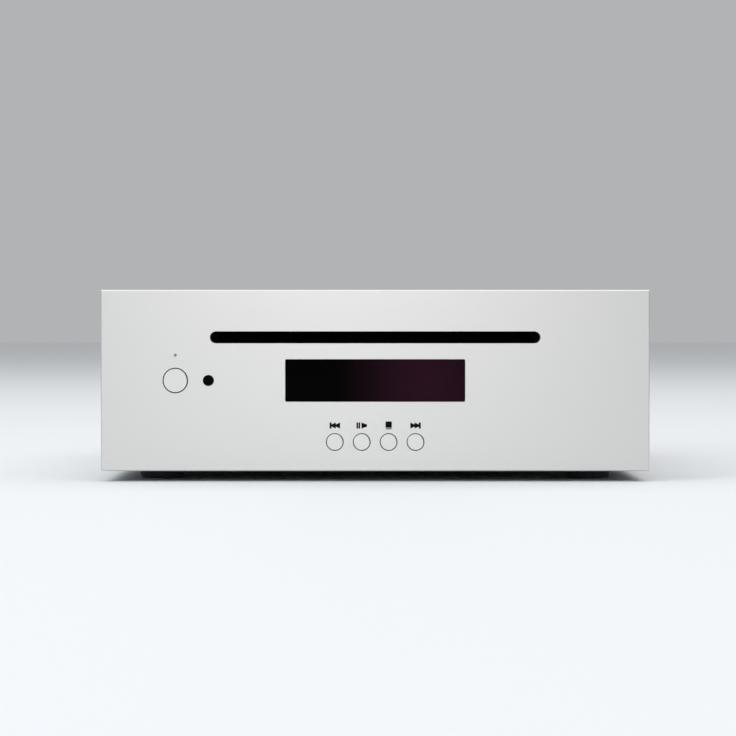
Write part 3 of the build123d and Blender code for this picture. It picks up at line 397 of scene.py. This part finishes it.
@dataclass(frozen=True)
class PlatedSteel(Finish):
    """Zinc-plated sheet with roll marks and a faint cloudy spangle."""

    colour: Colour = (0.58, 0.59, 0.60)
    roughness: float = 0.36
    grain: Grain = Grain.ALONG_Y
    dulling: float = 0.78
    relief: float = 4e-6

    def material(self) -> bpy.types.Material:
        """Builds the material.

        Returns:
            The finished material.
        """
        tree = Tree(self.name)
        rolled = tree.noise(Waves.ROLLED, 3.0, self.grain.value)
        spangle = tree.cells(Waves.SPANGLE)
        stain = tree.noise(Waves.STAIN, 4.0)
        tone = rolled * 0.3 + spangle * 0.4 + stain * 0.4
        dull = toned(self.colour, self.dulling)
        return tree.surface(
            Base_Color=tree.blend(tone, dull, self.colour),
            Metallic=1.0,
            Roughness=self.roughness - 0.06 + spangle * 0.10 + rolled * 0.08,
            Normal=tree.bump(rolled, self.relief, 0.4),
        )


@dataclass(frozen=True)
class TurnedMetal(Finish):
    """Turned, ground or plated metal: rods, screws, pinions and sockets."""

    colour: Colour
    roughness: float = 0.22
    tarnish: float = 0.85
    relief: float = 2e-6

    def material(self) -> bpy.types.Material:
        """Builds the material.

        Returns:
            The finished material.
        """
        tree = Tree(self.name)
        rings = tree.noise(Waves.TURNED, 2.0, Grain.ALONG_X.value)
        patches = tree.noise(Waves.PATCHES, 3.0)
        dull = toned(self.colour, self.tarnish)
        return tree.surface(
            Base_Color=tree.blend(patches, dull, self.colour),
            Metallic=1.0,
            Roughness=self.roughness - 0.04 + patches * 0.10,
            Normal=tree.bump(rings, self.relief, 0.3),
        )


@dataclass(frozen=True)
class TexturedPaint(Finish):
    """Powder coat with a fine pebbled texture."""

    colour: Colour
    roughness: float = 0.55
    relief: float = 40e-6

    def material(self) -> bpy.types.Material:
        """Builds the material.

        Returns:
            The finished material.
        """
        tree = Tree(self.name)
        pebbles = tree.cells(Waves.PEBBLES)
        dust = tree.noise(Waves.DUST, 4.0)
        lighter = toned(self.colour, 1.5, 0.01)
        return tree.surface(
            Base_Color=tree.blend(dust * 0.5 + pebbles * 0.3, self.colour, lighter),
            Roughness=self.roughness - 0.05 + dust * 0.12,
            Normal=tree.bump(1.0 - pebbles, self.relief, 0.5),
        )


@dataclass(frozen=True)
class MouldedPlastic(Finish):
    """Moulded plastic with a fine spark-eroded grain."""

    colour: Colour
    roughness: float = 0.5
    dulling: float = 0.86
    relief: float = 12e-6
    shine: float = 0.5

    def material(self) -> bpy.types.Material:
        """Builds the material.

        Returns:
            The finished material.
        """
        tree = Tree(self.name)
        grain = tree.noise(Waves.MOULD_GRAIN, 3.0)
        flow = tree.noise(Waves.MOULD_FLOW, 2.0)
        return tree.surface(
            Base_Color=tree.blend(flow, toned(self.colour, self.dulling), self.colour),
            Roughness=self.roughness - 0.05 + grain * 0.06 + flow * 0.05,
            Specular_IOR_Level=self.shine,
            Normal=tree.bump(grain, self.relief, 0.5),
        )


@dataclass(frozen=True)
class PolishedPane(Finish):
    """Polished dark acrylic with a trace of wiping marks."""

    colour: Colour
    shine: float = 0.2
    roughness: float = 0.06

    def material(self) -> bpy.types.Material:
        """Builds the material.

        Returns:
            The finished material.
        """
        tree = Tree(self.name)
        wipes = tree.noise(Waves.WIPES, 3.0, Grain.ALONG_X.value)
        smears = tree.noise(Waves.SMEARS, 3.0)
        lighter = toned(self.colour, 1.25, 0.0005)
        return tree.surface(
            Base_Color=tree.blend(smears, self.colour, lighter),
            Roughness=self.roughness + wipes * 0.02 + smears * 0.03,
            Specular_IOR_Level=self.shine,
        )


@dataclass(frozen=True)
class SmokedFilter(Finish):
    """Smoked acrylic over a display, with a plum reflection painted into its colour towards one side."""

    centre: float
    half_width: float
    colour: Colour = (0.0002, 0.0002, 0.0003)
    # The painted reflection's colour, where across the pane it is strongest and how far it reaches.
    reflection_colour: Colour = (0.021, 0.0052, 0.0120)
    reflection_middle: float = 0.55
    reflection_reach: float = 1.05
    roughness: float = 0.08
    shine: float = 0.02

    def material(self) -> bpy.types.Material:
        """Builds the material.

        Returns:
            The finished material.
        """
        tree = Tree(self.name)
        # Painted reflection: plum colour that fades away from a point right of the pane's middle.
        across = (tree.axes().signal("X") - self.centre) / self.half_width
        painted_reflection = 1.0 - across.distance(self.reflection_middle) / self.reflection_reach
        smears = tree.noise(Waves.SMEARS, 3.0)
        wipes = tree.noise(Waves.WIPES, 3.0, Grain.ALONG_X.value)
        return tree.surface(
            Base_Color=tree.blend(painted_reflection.softened() * (0.9 + smears * 0.2), self.colour, self.reflection_colour),
            Roughness=self.roughness + wipes * 0.02 + smears * 0.03,
            Specular_IOR_Level=self.shine,
        )


@dataclass(frozen=True)
class SoftRubber(Finish):
    """Dull rubber with a faint bloom."""

    colour: Colour = (0.018, 0.018, 0.019)
    roughness: float = 0.78
    shine: float = 0.35
    relief: float = 15e-6

    def material(self) -> bpy.types.Material:
        """Builds the material.

        Returns:
            The finished material.
        """
        tree = Tree(self.name)
        bloom = tree.noise(Waves.BLOOM, 4.0)
        pores = tree.noise(Waves.PORES, 2.0)
        return tree.surface(
            Base_Color=tree.blend(bloom, self.colour, toned(self.colour, 2.2, 0.004)),
            Roughness=self.roughness - 0.08 + bloom * 0.12,
            Specular_IOR_Level=self.shine,
            Normal=tree.bump(pores, self.relief, 0.6),
        )


@dataclass(frozen=True)
class Felt(Finish):
    """Short-napped felt."""

    colour: Colour = (0.006, 0.006, 0.007)
    nap: Triple = (1.0, 1.0, 0.25)
    roughness: float = 0.9
    shine: float = 0.1
    relief: float = 60e-6

    def material(self) -> bpy.types.Material:
        """Builds the material.

        Returns:
            The finished material.
        """
        tree = Tree(self.name)
        fibres = tree.noise(Waves.FIBRES, 4.0, self.nap)
        clumps = tree.noise(Waves.CLUMPS, 2.0)
        return tree.surface(
            Base_Color=tree.blend(fibres, self.colour, toned(self.colour, 2.0)),
            Roughness=self.roughness + clumps * 0.1,
            Specular_IOR_Level=self.shine,
            Normal=tree.bump(fibres, self.relief, 0.8),
        )


@dataclass(frozen=True)
class CircuitBoard(Finish):
    """Solder mask over copper tracks, with tinned pads."""

    mask: Colour = (0.010, 0.075, 0.030)
    over_copper: Colour = (0.030, 0.150, 0.055)
    tin: Colour = (0.62, 0.62, 0.60)
    track_pitch: float = 3.2 * MM
    track_width: float = 0.11
    track_length: float = 4.0
    pad_pitch: float = 1.3
    pad_radius: float = 0.16
    tilt: float = 0.0
    roughness: float = 0.28
    relief: float = 25e-6

    def material(self) -> bpy.types.Material:
        """Builds the material.

        Returns:
            The finished material.
        """
        tree = Tree(self.name)
        turned = {"Vector": tree.place().socket("Object"), "Rotation": (self.tilt, 0.0, 0.0)}
        runs = {
            "Vector": tree.node("ShaderNodeMapping", {}, turned).socket("Vector"),
            "Scale": 1.0,
            "Mortar Size": self.track_pitch * self.track_width,
            "Brick Width": self.track_pitch * self.track_length,
            "Row Height": self.track_pitch,
        }
        tracks = 1.0 - tree.node("ShaderNodeTexBrick", {}, runs).signal("Fac")
        pads = 1.0 - tree.cells(1.0 / (self.track_pitch * self.pad_pitch)).above(self.pad_radius)
        mask = tree.blend(tracks, self.over_copper, self.mask)
        return tree.surface(
            Base_Color=tree.blend(pads, mask, self.tin),
            Metallic=pads * 0.9,
            Roughness=self.roughness + tracks * 0.06 + tree.noise(Waves.SOLDER_MASK, 2.0) * 0.1,
            Normal=tree.bump(1.0 - tracks, self.relief, 0.5),
        )


@dataclass(frozen=True)
class PrintedInk(Finish):
    """Screen-printed ink, slightly uneven at its surface."""

    colour: Colour
    roughness: float = 0.5
    shine: float = 0.3

    def material(self) -> bpy.types.Material:
        """Builds the material.

        Returns:
            The finished material.
        """
        tree = Tree(self.name)
        mesh_marks = tree.noise(Waves.SCREEN_MESH, 2.0)
        lighter = toned(self.colour, 1.15, 0.0005)
        return tree.surface(
            Base_Color=tree.blend(mesh_marks, self.colour, lighter),
            Roughness=self.roughness + mesh_marks * 0.1,
            Specular_IOR_Level=self.shine,
        )


@dataclass(frozen=True)
class CollarColours(Finish):
    """Moulded collars whose colour changes from one socket to the next along X."""

    left: Colour
    right: Colour
    digital: Colour
    first_edge: float
    second_edge: float
    roughness: float = 0.38
    relief: float = 8e-6

    def material(self) -> bpy.types.Material:
        """Builds the material.

        Returns:
            The finished material.
        """
        tree = Tree(self.name)
        x = tree.axes().signal("X")
        grain = tree.noise(Waves.COLLAR_GRAIN, 2.0)
        two = tree.blend(x.above(self.first_edge), self.left, self.right)
        return tree.surface(
            Base_Color=tree.blend(x.above(self.second_edge), two, self.digital),
            Roughness=self.roughness + grain * 0.08,
            Normal=tree.bump(grain, self.relief, 0.4),
        )


@dataclass(frozen=True)
class PaleSurface(Finish):
    """The matt table top and backdrop."""

    colour: Colour
    dulling: float = 0.985
    roughness: float = 0.55
    shine: float = 0.3

    def material(self) -> bpy.types.Material:
        """Builds the material.

        Returns:
            The finished material.
        """
        tree = Tree(self.name)
        fine = tree.noise(Waves.FLOOR_GRAIN, 3.0)
        return tree.surface(
            Base_Color=tree.blend(fine, toned(self.colour, self.dulling), self.colour),
            Roughness=self.roughness + fine * 0.08,
            Specular_IOR_Level=self.shine,
        )


# --- Building pieces --------------------------------------------------------------------------------
def node_box(node: str) -> tuple[Vector, Vector]:
    """The lowest and the highest corner of a CAD node, in metres."""
    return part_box(node)


def mount_place(name: str) -> Vector:
    """The place of one of the record's mounts, in metres."""
    return next(Vector(mount["pos_m"]) for mount in frame["record"]["mounts"] if mount["name"] == name)


def dress(finish: Finish, *nodes: str) -> None:
    """Gives CAD nodes a finish.

    Args:
        finish: The finish that they share.
        nodes: The nodes' names.
    """
    material = finish.material()
    for name in nodes:
        slots = frame["nodes"][name].data.materials
        if not slots:
            slots.append(material)
        for index in range(len(slots)):
            slots[index] = material
        log.info("dressed %s in %s", name, finish.name)


def raise_outlines(outlines: list[Outline], place: Matrix, height: float) -> bmesh.types.BMesh:
    """Raises flat outlines into thin solids.

    Args:
        outlines: Closed outlines in the XY plane.
        place: Moves the XY plane to where the outlines lie, with +Z outwards.
        height: How far they stand out.

    Returns:
        The mesh that is being built.
    """
    builder = bmesh.new()
    for outline in outlines:
        low = [builder.verts.new(place @ Vector((x, y, 0.0))) for x, y in outline]
        high = [builder.verts.new(place @ Vector((x, y, height))) for x, y in outline]
        builder.faces.new(high)
        builder.faces.new(list(reversed(low)))
        for i, vertex in enumerate(low):
            following = (i + 1) % len(low)
            builder.faces.new([vertex, low[following], high[following], high[i]])
    bmesh.ops.recalc_face_normals(builder, faces=builder.faces)
    return builder


def print_piece(name: str, outlines: list[Outline], place: Matrix, ink: bpy.types.Material) -> bpy.types.Object:
    """Prints marks on a surface of the case, as one piece of raised ink.

    Args:
        name: The piece's name.
        outlines: The marks' closed outlines in the XY plane.
        place: Moves the XY plane into the surface, with +Z outwards.
        ink: The piece's material.

    Returns:
        The new object.
    """
    mesh = bpy.data.meshes.new(name)
    builder = raise_outlines(outlines, place, INK_HEIGHT + INK_SUNK)
    builder.to_mesh(mesh)
    builder.free()
    mesh.materials.append(ink)
    piece = bpy.data.objects.new(name, mesh)
    bpy.context.scene.collection.objects.link(piece)
    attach(piece, CASE)
    log.info("printed %s", name)
    return piece


def rectangle(x: float, y: float, width: float, height: float) -> Outline:
    """A rectangle about its centre.

    Args:
        x: The centre's place along X.
        y: The centre's place along Y.
        width: Its size along X.
        height: Its size along Y.

    Returns:
        Its corners in order.
    """
    left, right = x - width / 2, x + width / 2
    low, high = y - height / 2, y + height / 2
    return [(left, low), (right, low), (right, high), (left, high)]


def arrow(x: float, width: float, height: float, blunt: float) -> Outline:
    """An arrowhead from x to x + width, which may be negative, with a narrow blunt tip."""
    return [(x, -height / 2), (x + width, -blunt / 2), (x + width, blunt / 2), (x, height / 2)]


def disc(x: float, y: float, radius: float, steps: int = 40) -> Outline:
    """A filled circle.

    Args:
        x: The centre's place along X.
        y: The centre's place along Y.
        radius: Its radius.
        steps: How many sides stand for it.

    Returns:
        Its outline.
    """
    turns = [2 * math.pi * i / steps for i in range(steps)]
    return [(x + radius * math.cos(turn), y + radius * math.sin(turn)) for turn in turns]


def arc_band(x: float, y: float, radius: float, width: float, start: float, end: float) -> Outline:
    """A band along an arc.

    Args:
        x: The arc's centre.
        y: The arc's centre.
        radius: The radius of the band's inner edge.
        width: The band's width.
        start: The angle that it starts at, in degrees.
        end: The angle that it ends at, less than a full turn on.

    Returns:
        The band's outline.
    """
    steps = max(FEWEST_ARC_STEPS, round((end - start) / ARC_STEP))
    turns = [math.radians(start + (end - start) * i / steps) for i in range(steps + 1)]
    inner, outer = ([(x + reach * math.cos(turn), y + reach * math.sin(turn)) for turn in turns]
                    for reach in (radius, radius + width))
    return outer + list(reversed(inner))


# --- Sub-assemblies ---------------------------------------------------------------------------------
class Mark(Enum):
    """The marks over the transport buttons."""

    PREVIOUS = "previous"
    PLAY = "play"
    STOP = "stop"
    NEXT = "next"


@dataclass
class Fascia:
    """The thick front plate, its buttons, windows and printed marks."""

    mark_rise: float = 6.2 * MM
    mark_width: float = 3.95 * MM
    mark_height: float = 2.3 * MM
    stop_side: float = 2.35 * MM
    stop_raise: float = 0.35 * MM
    bar_width: float = 0.75 * MM
    pause_bar: float = 0.62 * MM
    pause_gap: float = 0.16 * MM
    blunt_tip: float = 0.8 * MM
    underline_height: float = 0.5 * MM
    underline_drop: float = 0.75
    underline_width: float = 0.9
    buttons: dict[Mark, str] = field(default_factory=lambda: {
        Mark.PREVIOUS: "previous_button", Mark.PLAY: "play_button",
        Mark.STOP: "stop_button", Mark.NEXT: "next_button"})

    def dress(self) -> None:
        """Gives the front nodes their finishes."""
        dress(SatinAluminium("satin_fascia"), "front_panel")
        cap = CappedButton("button_cap", node_box("front_panel")[0].y)
        dress(cap, "standby_button", *self.buttons.values())
        low, high = node_box("display_window")
        pane = SmokedFilter("display_filter", (low.x + high.x) / 2, (high.x - low.x) / 2)
        dress(pane, "display_window")
        dress(PolishedPane("infrared_pane", (0.0008, 0.0010, 0.0010), shine=0.03), "infrared_window")
        dress(MouldedPlastic("lamp_lens", (0.22, 0.22, 0.23), roughness=0.2), "lamp_pipe")

    def outlines(self, mark: Mark) -> list[Outline]:
        """The outlines of one printed mark.

        Args:
            mark: The mark.

        Returns:
            Closed outlines about the mark's centre.
        """
        half, tall, bar = self.mark_width / 2, self.mark_height, self.bar_width
        if mark is Mark.STOP:
            return [rectangle(0.0, self.stop_raise, self.stop_side, self.stop_side)]
        if mark is Mark.PLAY:
            pitch = self.pause_bar + self.pause_gap
            start = -half + self.pause_bar / 2
            bars = [rectangle(start + i * pitch, 0.0, self.pause_bar, tall) for i in range(2)]
            return [*bars, arrow(start + 2 * pitch, half - start - 2 * pitch, tall, self.blunt_tip)]
        reach = (self.mark_width - bar) / 2
        if mark is Mark.NEXT:
            return [arrow(-half, reach, tall, self.blunt_tip),
                    arrow(-half + reach, reach, tall, self.blunt_tip),
                    rectangle(half - bar / 2, 0.0, bar, tall)]
        return [arrow(half, -reach, tall, self.blunt_tip),
                arrow(half - reach, -reach, tall, self.blunt_tip),
                rectangle(bar / 2 - half, 0.0, bar, tall)]

    def underline(self) -> Outline:
        """The thin line under the stop mark."""
        drop = self.stop_raise - self.stop_side / 2 - self.underline_height * self.underline_drop
        return rectangle(0.0, drop, self.stop_side * self.underline_width, self.underline_height)

    def mark_place(self, button: str) -> Matrix:
        """Where the mark over a button is printed.

        Args:
            button: The button's node.

        Returns:
            The move from the XY plane to the fascia's face, over the button.
        """
        low, high = node_box(button)
        face_y = node_box("front_panel")[0].y
        centre = Vector(((low.x + high.x) / 2, face_y + INK_SUNK, (low.z + high.z) / 2 + self.mark_rise))
        return Matrix.Translation(centre) @ Matrix.Rotation(math.pi / 2, 4, "X")

    def print_marks(self) -> None:
        """Prints a mark over each transport button, and a thin line under the stop mark."""
        ink = PrintedInk("mark_ink", (0.0015, 0.0015, 0.002), roughness=0.6, shine=0.08).material()
        grey = PrintedInk("pale_ink", (0.12, 0.12, 0.125)).material()
        for mark, button in self.buttons.items():
            place = self.mark_place(button)
            print_piece(f"{mark.value}_mark", self.outlines(mark), place, ink)
            if mark is Mark.STOP:
                print_piece("stop_underline", [self.underline()], place, grey)

    def build(self) -> None:
        """Dresses the front and prints its marks."""
        self.dress()
        self.print_marks()


@dataclass
class DiscSlot:
    """The slot's inner frame and its felts."""

    def build(self) -> None:
        """Dresses the slot."""
        dress(MouldedPlastic("slot_moulding", (0.006, 0.006, 0.007), roughness=0.7, shine=0.15), "slot_bezel")
        dress(Felt("slot_felt"), "slot_felts")


@dataclass
class Case:
    """Cover, tray, rear panel, feet and screws."""

    def build(self) -> None:
        """Dresses the case."""
        dress(SatinAluminium("satin_cover", (0.60, 0.60, 0.595), roughness=0.42, grain=Grain.ALONG_Y),
              "top_cover")
        dress(PlatedSteel("plated_panel"), "sub_panel")
        dress(TexturedPaint("tray_paint", (0.006, 0.006, 0.0065), roughness=0.6), "base_tray")
        dress(TexturedPaint("rear_paint", (0.012, 0.012, 0.013)), "rear_panel")
        dress(SoftRubber("foot_rubber"), "feet")
        dress(TurnedMetal("case_screw_metal", (0.42, 0.42, 0.43), roughness=0.3), "case_screws")
        dress(TurnedMetal("zinc_screw_metal", (0.66, 0.66, 0.62), roughness=0.3), "chassis_screws")


@dataclass
class Drive:
    """The disc drive: deck, guides, loading roller, clamp and pickup."""

    def dress_frame(self) -> None:
        """Dresses the deck, lid, brackets and guides."""
        dress(PlatedSteel("plated_deck", grain=Grain.ALONG_X), "drive_deck", "drive_brackets")
        dress(PlatedSteel("plated_lid", (0.63, 0.64, 0.65)), "drive_lid", "clamp_arm", "roller_lever")
        dress(SoftRubber("damper_rubber", (0.03, 0.03, 0.034)), "rubber_dampers")
        dress(MouldedPlastic("guide_moulding", (0.02, 0.02, 0.022), roughness=0.42),
              "disc_guides", "pickup_frame")

    def dress_loading(self) -> None:
        """Dresses the loading roller, its belt and its gears."""
        dress(TurnedMetal("ground_steel", (0.72, 0.72, 0.72), roughness=0.14),
              "hinge_pins", "roller_shaft", "guide_rods")
        dress(SoftRubber("roller_rubber", (0.035, 0.035, 0.038), roughness=0.7), "roller_sleeves")
        dress(SoftRubber("belt_rubber", (0.012, 0.012, 0.012), roughness=0.6), "roller_belt")
        dress(MouldedPlastic("gear_moulding", (0.78, 0.77, 0.72), roughness=0.4), "pulley_gear", "sled_gear")
        dress(TurnedMetal("drawn_can", (0.62, 0.63, 0.64), roughness=0.28),
              "loading_motor", "spindle_motor", "sled_motor")
        dress(TurnedMetal("cut_brass", (0.78, 0.58, 0.26), roughness=0.2), "loading_pinion", "sled_pinion")

    def dress_pickup(self) -> None:
        """Dresses the turntable, the clamp puck, the sled and the lens."""
        dress(MouldedPlastic("hub_moulding", (0.022, 0.022, 0.024), roughness=0.45),
              "turntable", "clamp_puck")
        dress(PlatedSteel("cast_sled", (0.45, 0.45, 0.46), roughness=0.5, grain=Grain.EVEN), "pickup_sled")
        dress(PolishedPane("coated_lens", (0.02, 0.03, 0.10), shine=0.8, roughness=0.03), "objective_lens")

    def build(self) -> None:
        """Dresses the whole drive."""
        self.dress_frame()
        self.dress_loading()
        self.dress_pickup()


@dataclass
class Electronics:
    """The boards and what is on them."""

    def build(self) -> None:
        """Dresses the electronics."""
        dress(CircuitBoard("flat_board_mask"), "main_board")
        dress(CircuitBoard("upright_board_mask", tilt=math.pi / 2), "jack_board", "control_board")
        dress(MouldedPlastic("chip_moulding", (0.010, 0.010, 0.011), roughness=0.55),
              "board_chips", "switches", "infrared_receiver")
        dress(MouldedPlastic("capacitor_sleeve", (0.012, 0.016, 0.05), roughness=0.25), "capacitors")
        dress(SatinAluminium("heat_sink_metal", (0.10, 0.10, 0.105), roughness=0.4, grain=Grain.EVEN),
              "heat_sink")
        dress(TurnedMetal("turned_brass", (0.76, 0.60, 0.30), roughness=0.25), "board_standoffs")
        dress(MouldedPlastic("socket_moulding", (0.72, 0.70, 0.62), roughness=0.45), "ribbon_sockets")
        dress(MouldedPlastic("cable_film", (0.70, 0.70, 0.68), roughness=0.35), "control_cable")
        dress(PolishedPane("tube_glass", (0.004, 0.006, 0.006), shine=0.5, roughness=0.04), "display_tube")


@dataclass
class RearConnectors:
    """The phono sockets, the optical output, the power inlet and the print round them."""

    sockets: tuple[str, ...] = ("left_output_pin", "right_output_pin", "digital_output_pin")
    line: float = 0.3 * MM
    ring_gap: float = 1.1 * MM
    bracket_rise: float = 10.5 * MM
    bracket_drop: float = 1.8 * MM
    frame_gap: float = 1.2 * MM
    symbol_rise: float = 9.5 * MM
    symbol_radius: float = 1.3 * MM
    symbol_dot: float = 0.35
    symbol_opening: float = 35.0
    sign_size: float = 1.5 * MM
    sign_reach: float = 4.2 * MM

    def dress(self) -> None:
        """Gives the connectors their finishes."""
        dress(TurnedMetal("gold_plate", (0.90, 0.66, 0.28), roughness=0.16), "rca_jacks")
        dress(MouldedPlastic("insert_moulding", (0.80, 0.80, 0.78), roughness=0.4), "rca_inserts")
        left, right, digital = (mount_place(name).x for name in self.sockets)
        collars = CollarColours(
            "collar_moulding", left=(0.78, 0.78, 0.76), right=(0.55, 0.015, 0.012),
            digital=(0.010, 0.010, 0.011), first_edge=(left + right) / 2, second_edge=(right + digital) / 2)
        dress(collars, "jack_washers")
        dress(MouldedPlastic("optical_moulding", (0.012, 0.012, 0.013), roughness=0.5), "optical_socket")
        dress(MouldedPlastic("shutter_moulding", (0.03, 0.03, 0.033), roughness=0.4), "optical_shutter")
        dress(MouldedPlastic("inlet_moulding", (0.012, 0.012, 0.013), roughness=0.45), "power_inlet")

    def rings(self, centres: list[float], radius: float) -> list[Outline]:
        """A ring in two halves round each socket.

        Args:
            centres: The sockets' places along X.
            radius: The rings' inner radius.

        Returns:
            The outlines of the halves.
        """
        return [arc_band(x, 0.0, radius, self.line, start, start + 180.0)
                for x in centres for start in (0.0, 180.0)]

    def bracket(self, left: float, right: float) -> list[Outline]:
        """A line over the two analogue outputs, with a short drop at each end.

        Args:
            left: The first output's place along X.
            right: The second output's place along X.

        Returns:
            The line and its drops.
        """
        middle, width = (left + right) / 2, right - left + self.line
        drops = [rectangle(x, self.bracket_rise - self.bracket_drop / 2, self.line, self.bracket_drop)
                 for x in (left, right)]
        return [rectangle(middle, self.bracket_rise, width, self.line), *drops]

    def frame_lines(self, middle: float, half: float) -> list[Outline]:
        """Four lines round the square optical output.

        Args:
            middle: The output's place along X.
            half: Half the side of the square that they make.

        Returns:
            The level lines, then the upright ones.
        """
        long = 2 * half + self.line
        level = [rectangle(middle, side * half, long, self.line) for side in (-1, 1)]
        return level + [rectangle(middle + side * half, 0.0, self.line, long) for side in (-1, 1)]

    def polarity(self, middle: float) -> list[Outline]:
        """The usual sign for a centre-positive inlet: a dot in an open ring, with minus and plus.

        Args:
            middle: The inlet's place along X.

        Returns:
            The sign's outlines.
        """
        y, reach, size = self.symbol_rise, self.sign_reach, self.sign_size
        opening, ring = self.symbol_opening, self.symbol_radius + self.line
        lead = reach - size
        return [
            disc(middle, y, self.symbol_radius * self.symbol_dot),
            arc_band(middle, y, self.symbol_radius, self.line, opening, 360.0 - opening),
            rectangle(middle + lead / 2, y, lead, self.line),
            rectangle(middle - (lead + ring) / 2, y, lead - ring, self.line),
            rectangle(middle - reach, y, size, self.line),
            rectangle(middle + reach, y, size, self.line),
            rectangle(middle + reach, y, self.line, size),
        ]

    def print_panel(self) -> None:
        """Prints the lines round the connectors on the rear panel."""
        washer_low, washer_high = node_box("jack_washers")
        optical_low, optical_high = node_box("optical_socket")
        sockets = [mount_place(name).x for name in self.sockets]
        frame_half = (optical_high.x - optical_low.x) / 2 + self.frame_gap
        prints = {
            "output_rings": self.rings(sockets, (washer_high.z - washer_low.z) / 2 + self.ring_gap),
            "output_bracket": self.bracket(sockets[0], sockets[1]),
            "optical_frame": self.frame_lines(mount_place("optical_output").x, frame_half),
            "inlet_polarity": self.polarity(mount_place("power_input").x),
        }
        ink = PrintedInk("panel_ink", (0.62, 0.62, 0.61), roughness=0.55).material()
        panel = Vector((0.0, node_box("rear_panel")[1].y - INK_SUNK, mount_place("power_input").z))
        upright = Matrix(((1, 0, 0), (0, 0, 1), (0, 1, 0))).to_4x4()
        place = Matrix.Translation(panel) @ upright
        for name, outlines in prints.items():
            print_piece(name, outlines, place, ink)

    def build(self) -> None:
        """Dresses the connectors and prints the panel."""
        self.dress()
        self.print_panel()


# --- Studio -----------------------------------------------------------------------------------------
@dataclass(frozen=True)
class Softbox:
    """A soft rectangular light, hidden from the camera."""

    name: str
    place: Triple
    size: tuple[float, float]
    watts: float
    colour: Colour

    def build(self, aim: Triple) -> None:
        """Hangs the light.

        Args:
            aim: The point that it faces.
        """
        data = bpy.data.lights.new(self.name, "AREA")
        data.shape = "RECTANGLE"
        data.size, data.size_y = self.size
        data.energy = self.watts
        data.color = self.colour
        light = bpy.data.objects.new(self.name, data)
        light.visible_camera = False
        light.location = self.place
        toward = Vector(aim) - Vector(self.place)
        light.rotation_euler = toward.to_track_quat("-Z", "Y").to_euler()
        bpy.context.scene.collection.objects.link(light)


@dataclass
class Studio:
    """Pale floor, soft lights and the camera."""

    camera_height: float = 0.060
    camera_distance: float = 0.900
    aim: Vector = field(default_factory=lambda: Vector((-0.0027, 0.0, 0.0427)))
    lens: float = 117.35
    sensor_width: float = 36.0
    clip_end: float = 50.0
    floor_half: float = 6.0
    floor_colour: Colour = (0.90, 0.92, 0.94)
    light_aim: Triple = (0.0, 0.0, 0.04)
    softboxes: tuple[Softbox, ...] = (
        Softbox("overhead_softbox", (0.0, -0.1, 1.5), (3.0, 2.6), 25.0, (1.0, 0.99, 0.98)),
        Softbox("left_softbox", (-1.6, -1.3, 0.9), (1.0, 1.2), 12.0, (0.80, 0.92, 1.0)),
        Softbox("front_softbox", (-0.05, -3.2, 0.50), (0.52, 0.73), 4.4, (1.0, 0.98, 0.95)),
    )
    surround_colour: Colour = (0.88, 0.90, 0.92)
    surround_strength: float = 0.50

    def add_floor(self) -> None:
        """Lays a large pale floor."""
        mesh = bpy.data.meshes.new("floor")
        side = 2 * self.floor_half
        corners = [(x, y, 0.0) for x, y in rectangle(0.0, 0.0, side, side)]
        mesh.from_pydata(corners, [], [range(len(corners))])
        mesh.materials.append(PaleSurface("floor_paint", self.floor_colour).material())
        floor = bpy.data.objects.new("floor", mesh)
        bpy.context.scene.collection.objects.link(floor)

    def add_lights(self) -> None:
        """Adds the softboxes and an even pale surround."""
        for softbox in self.softboxes:
            softbox.build(self.light_aim)
        world = bpy.data.worlds.new("surround")
        world.use_nodes = True
        background = world.node_tree.nodes["Background"]
        background.inputs["Color"].default_value = (*self.surround_colour, 1.0)
        background.inputs["Strength"].default_value = self.surround_strength
        bpy.context.scene.world = world

    def add_camera(self) -> None:
        """Sets up the camera in front of the fascia, a little below its top edge."""
        data = bpy.data.cameras.new("camera")
        data.lens = self.lens
        data.sensor_width = self.sensor_width
        data.clip_end = self.clip_end
        camera = bpy.data.objects.new("camera", data)
        face_y = node_box("front_panel")[0].y
        place = Vector((self.aim.x, face_y - self.camera_distance, self.camera_height))
        target = Vector((self.aim.x, face_y, self.aim.z))
        camera.location = place
        camera.rotation_euler = (target - place).to_track_quat("-Z", "Y").to_euler()
        bpy.context.scene.collection.objects.link(camera)
        bpy.context.scene.camera = camera

    def build(self) -> None:
        """Builds the studio."""
        bpy.context.scene.view_settings.view_transform = "Standard"
        self.add_floor()
        self.add_lights()
        self.add_camera()


def main() -> None:
    """Builds every sub-assembly in order, then the studio."""
    logging.basicConfig(level=logging.INFO, format="%(name)s: %(message)s")
    for part in (Fascia(), DiscSlot(), Case(), Drive(), Electronics(), RearConnectors(), Studio()):
        part.build()
        log.info("%s is finished", type(part).__name__)


if __name__ == "__main__":
    main()
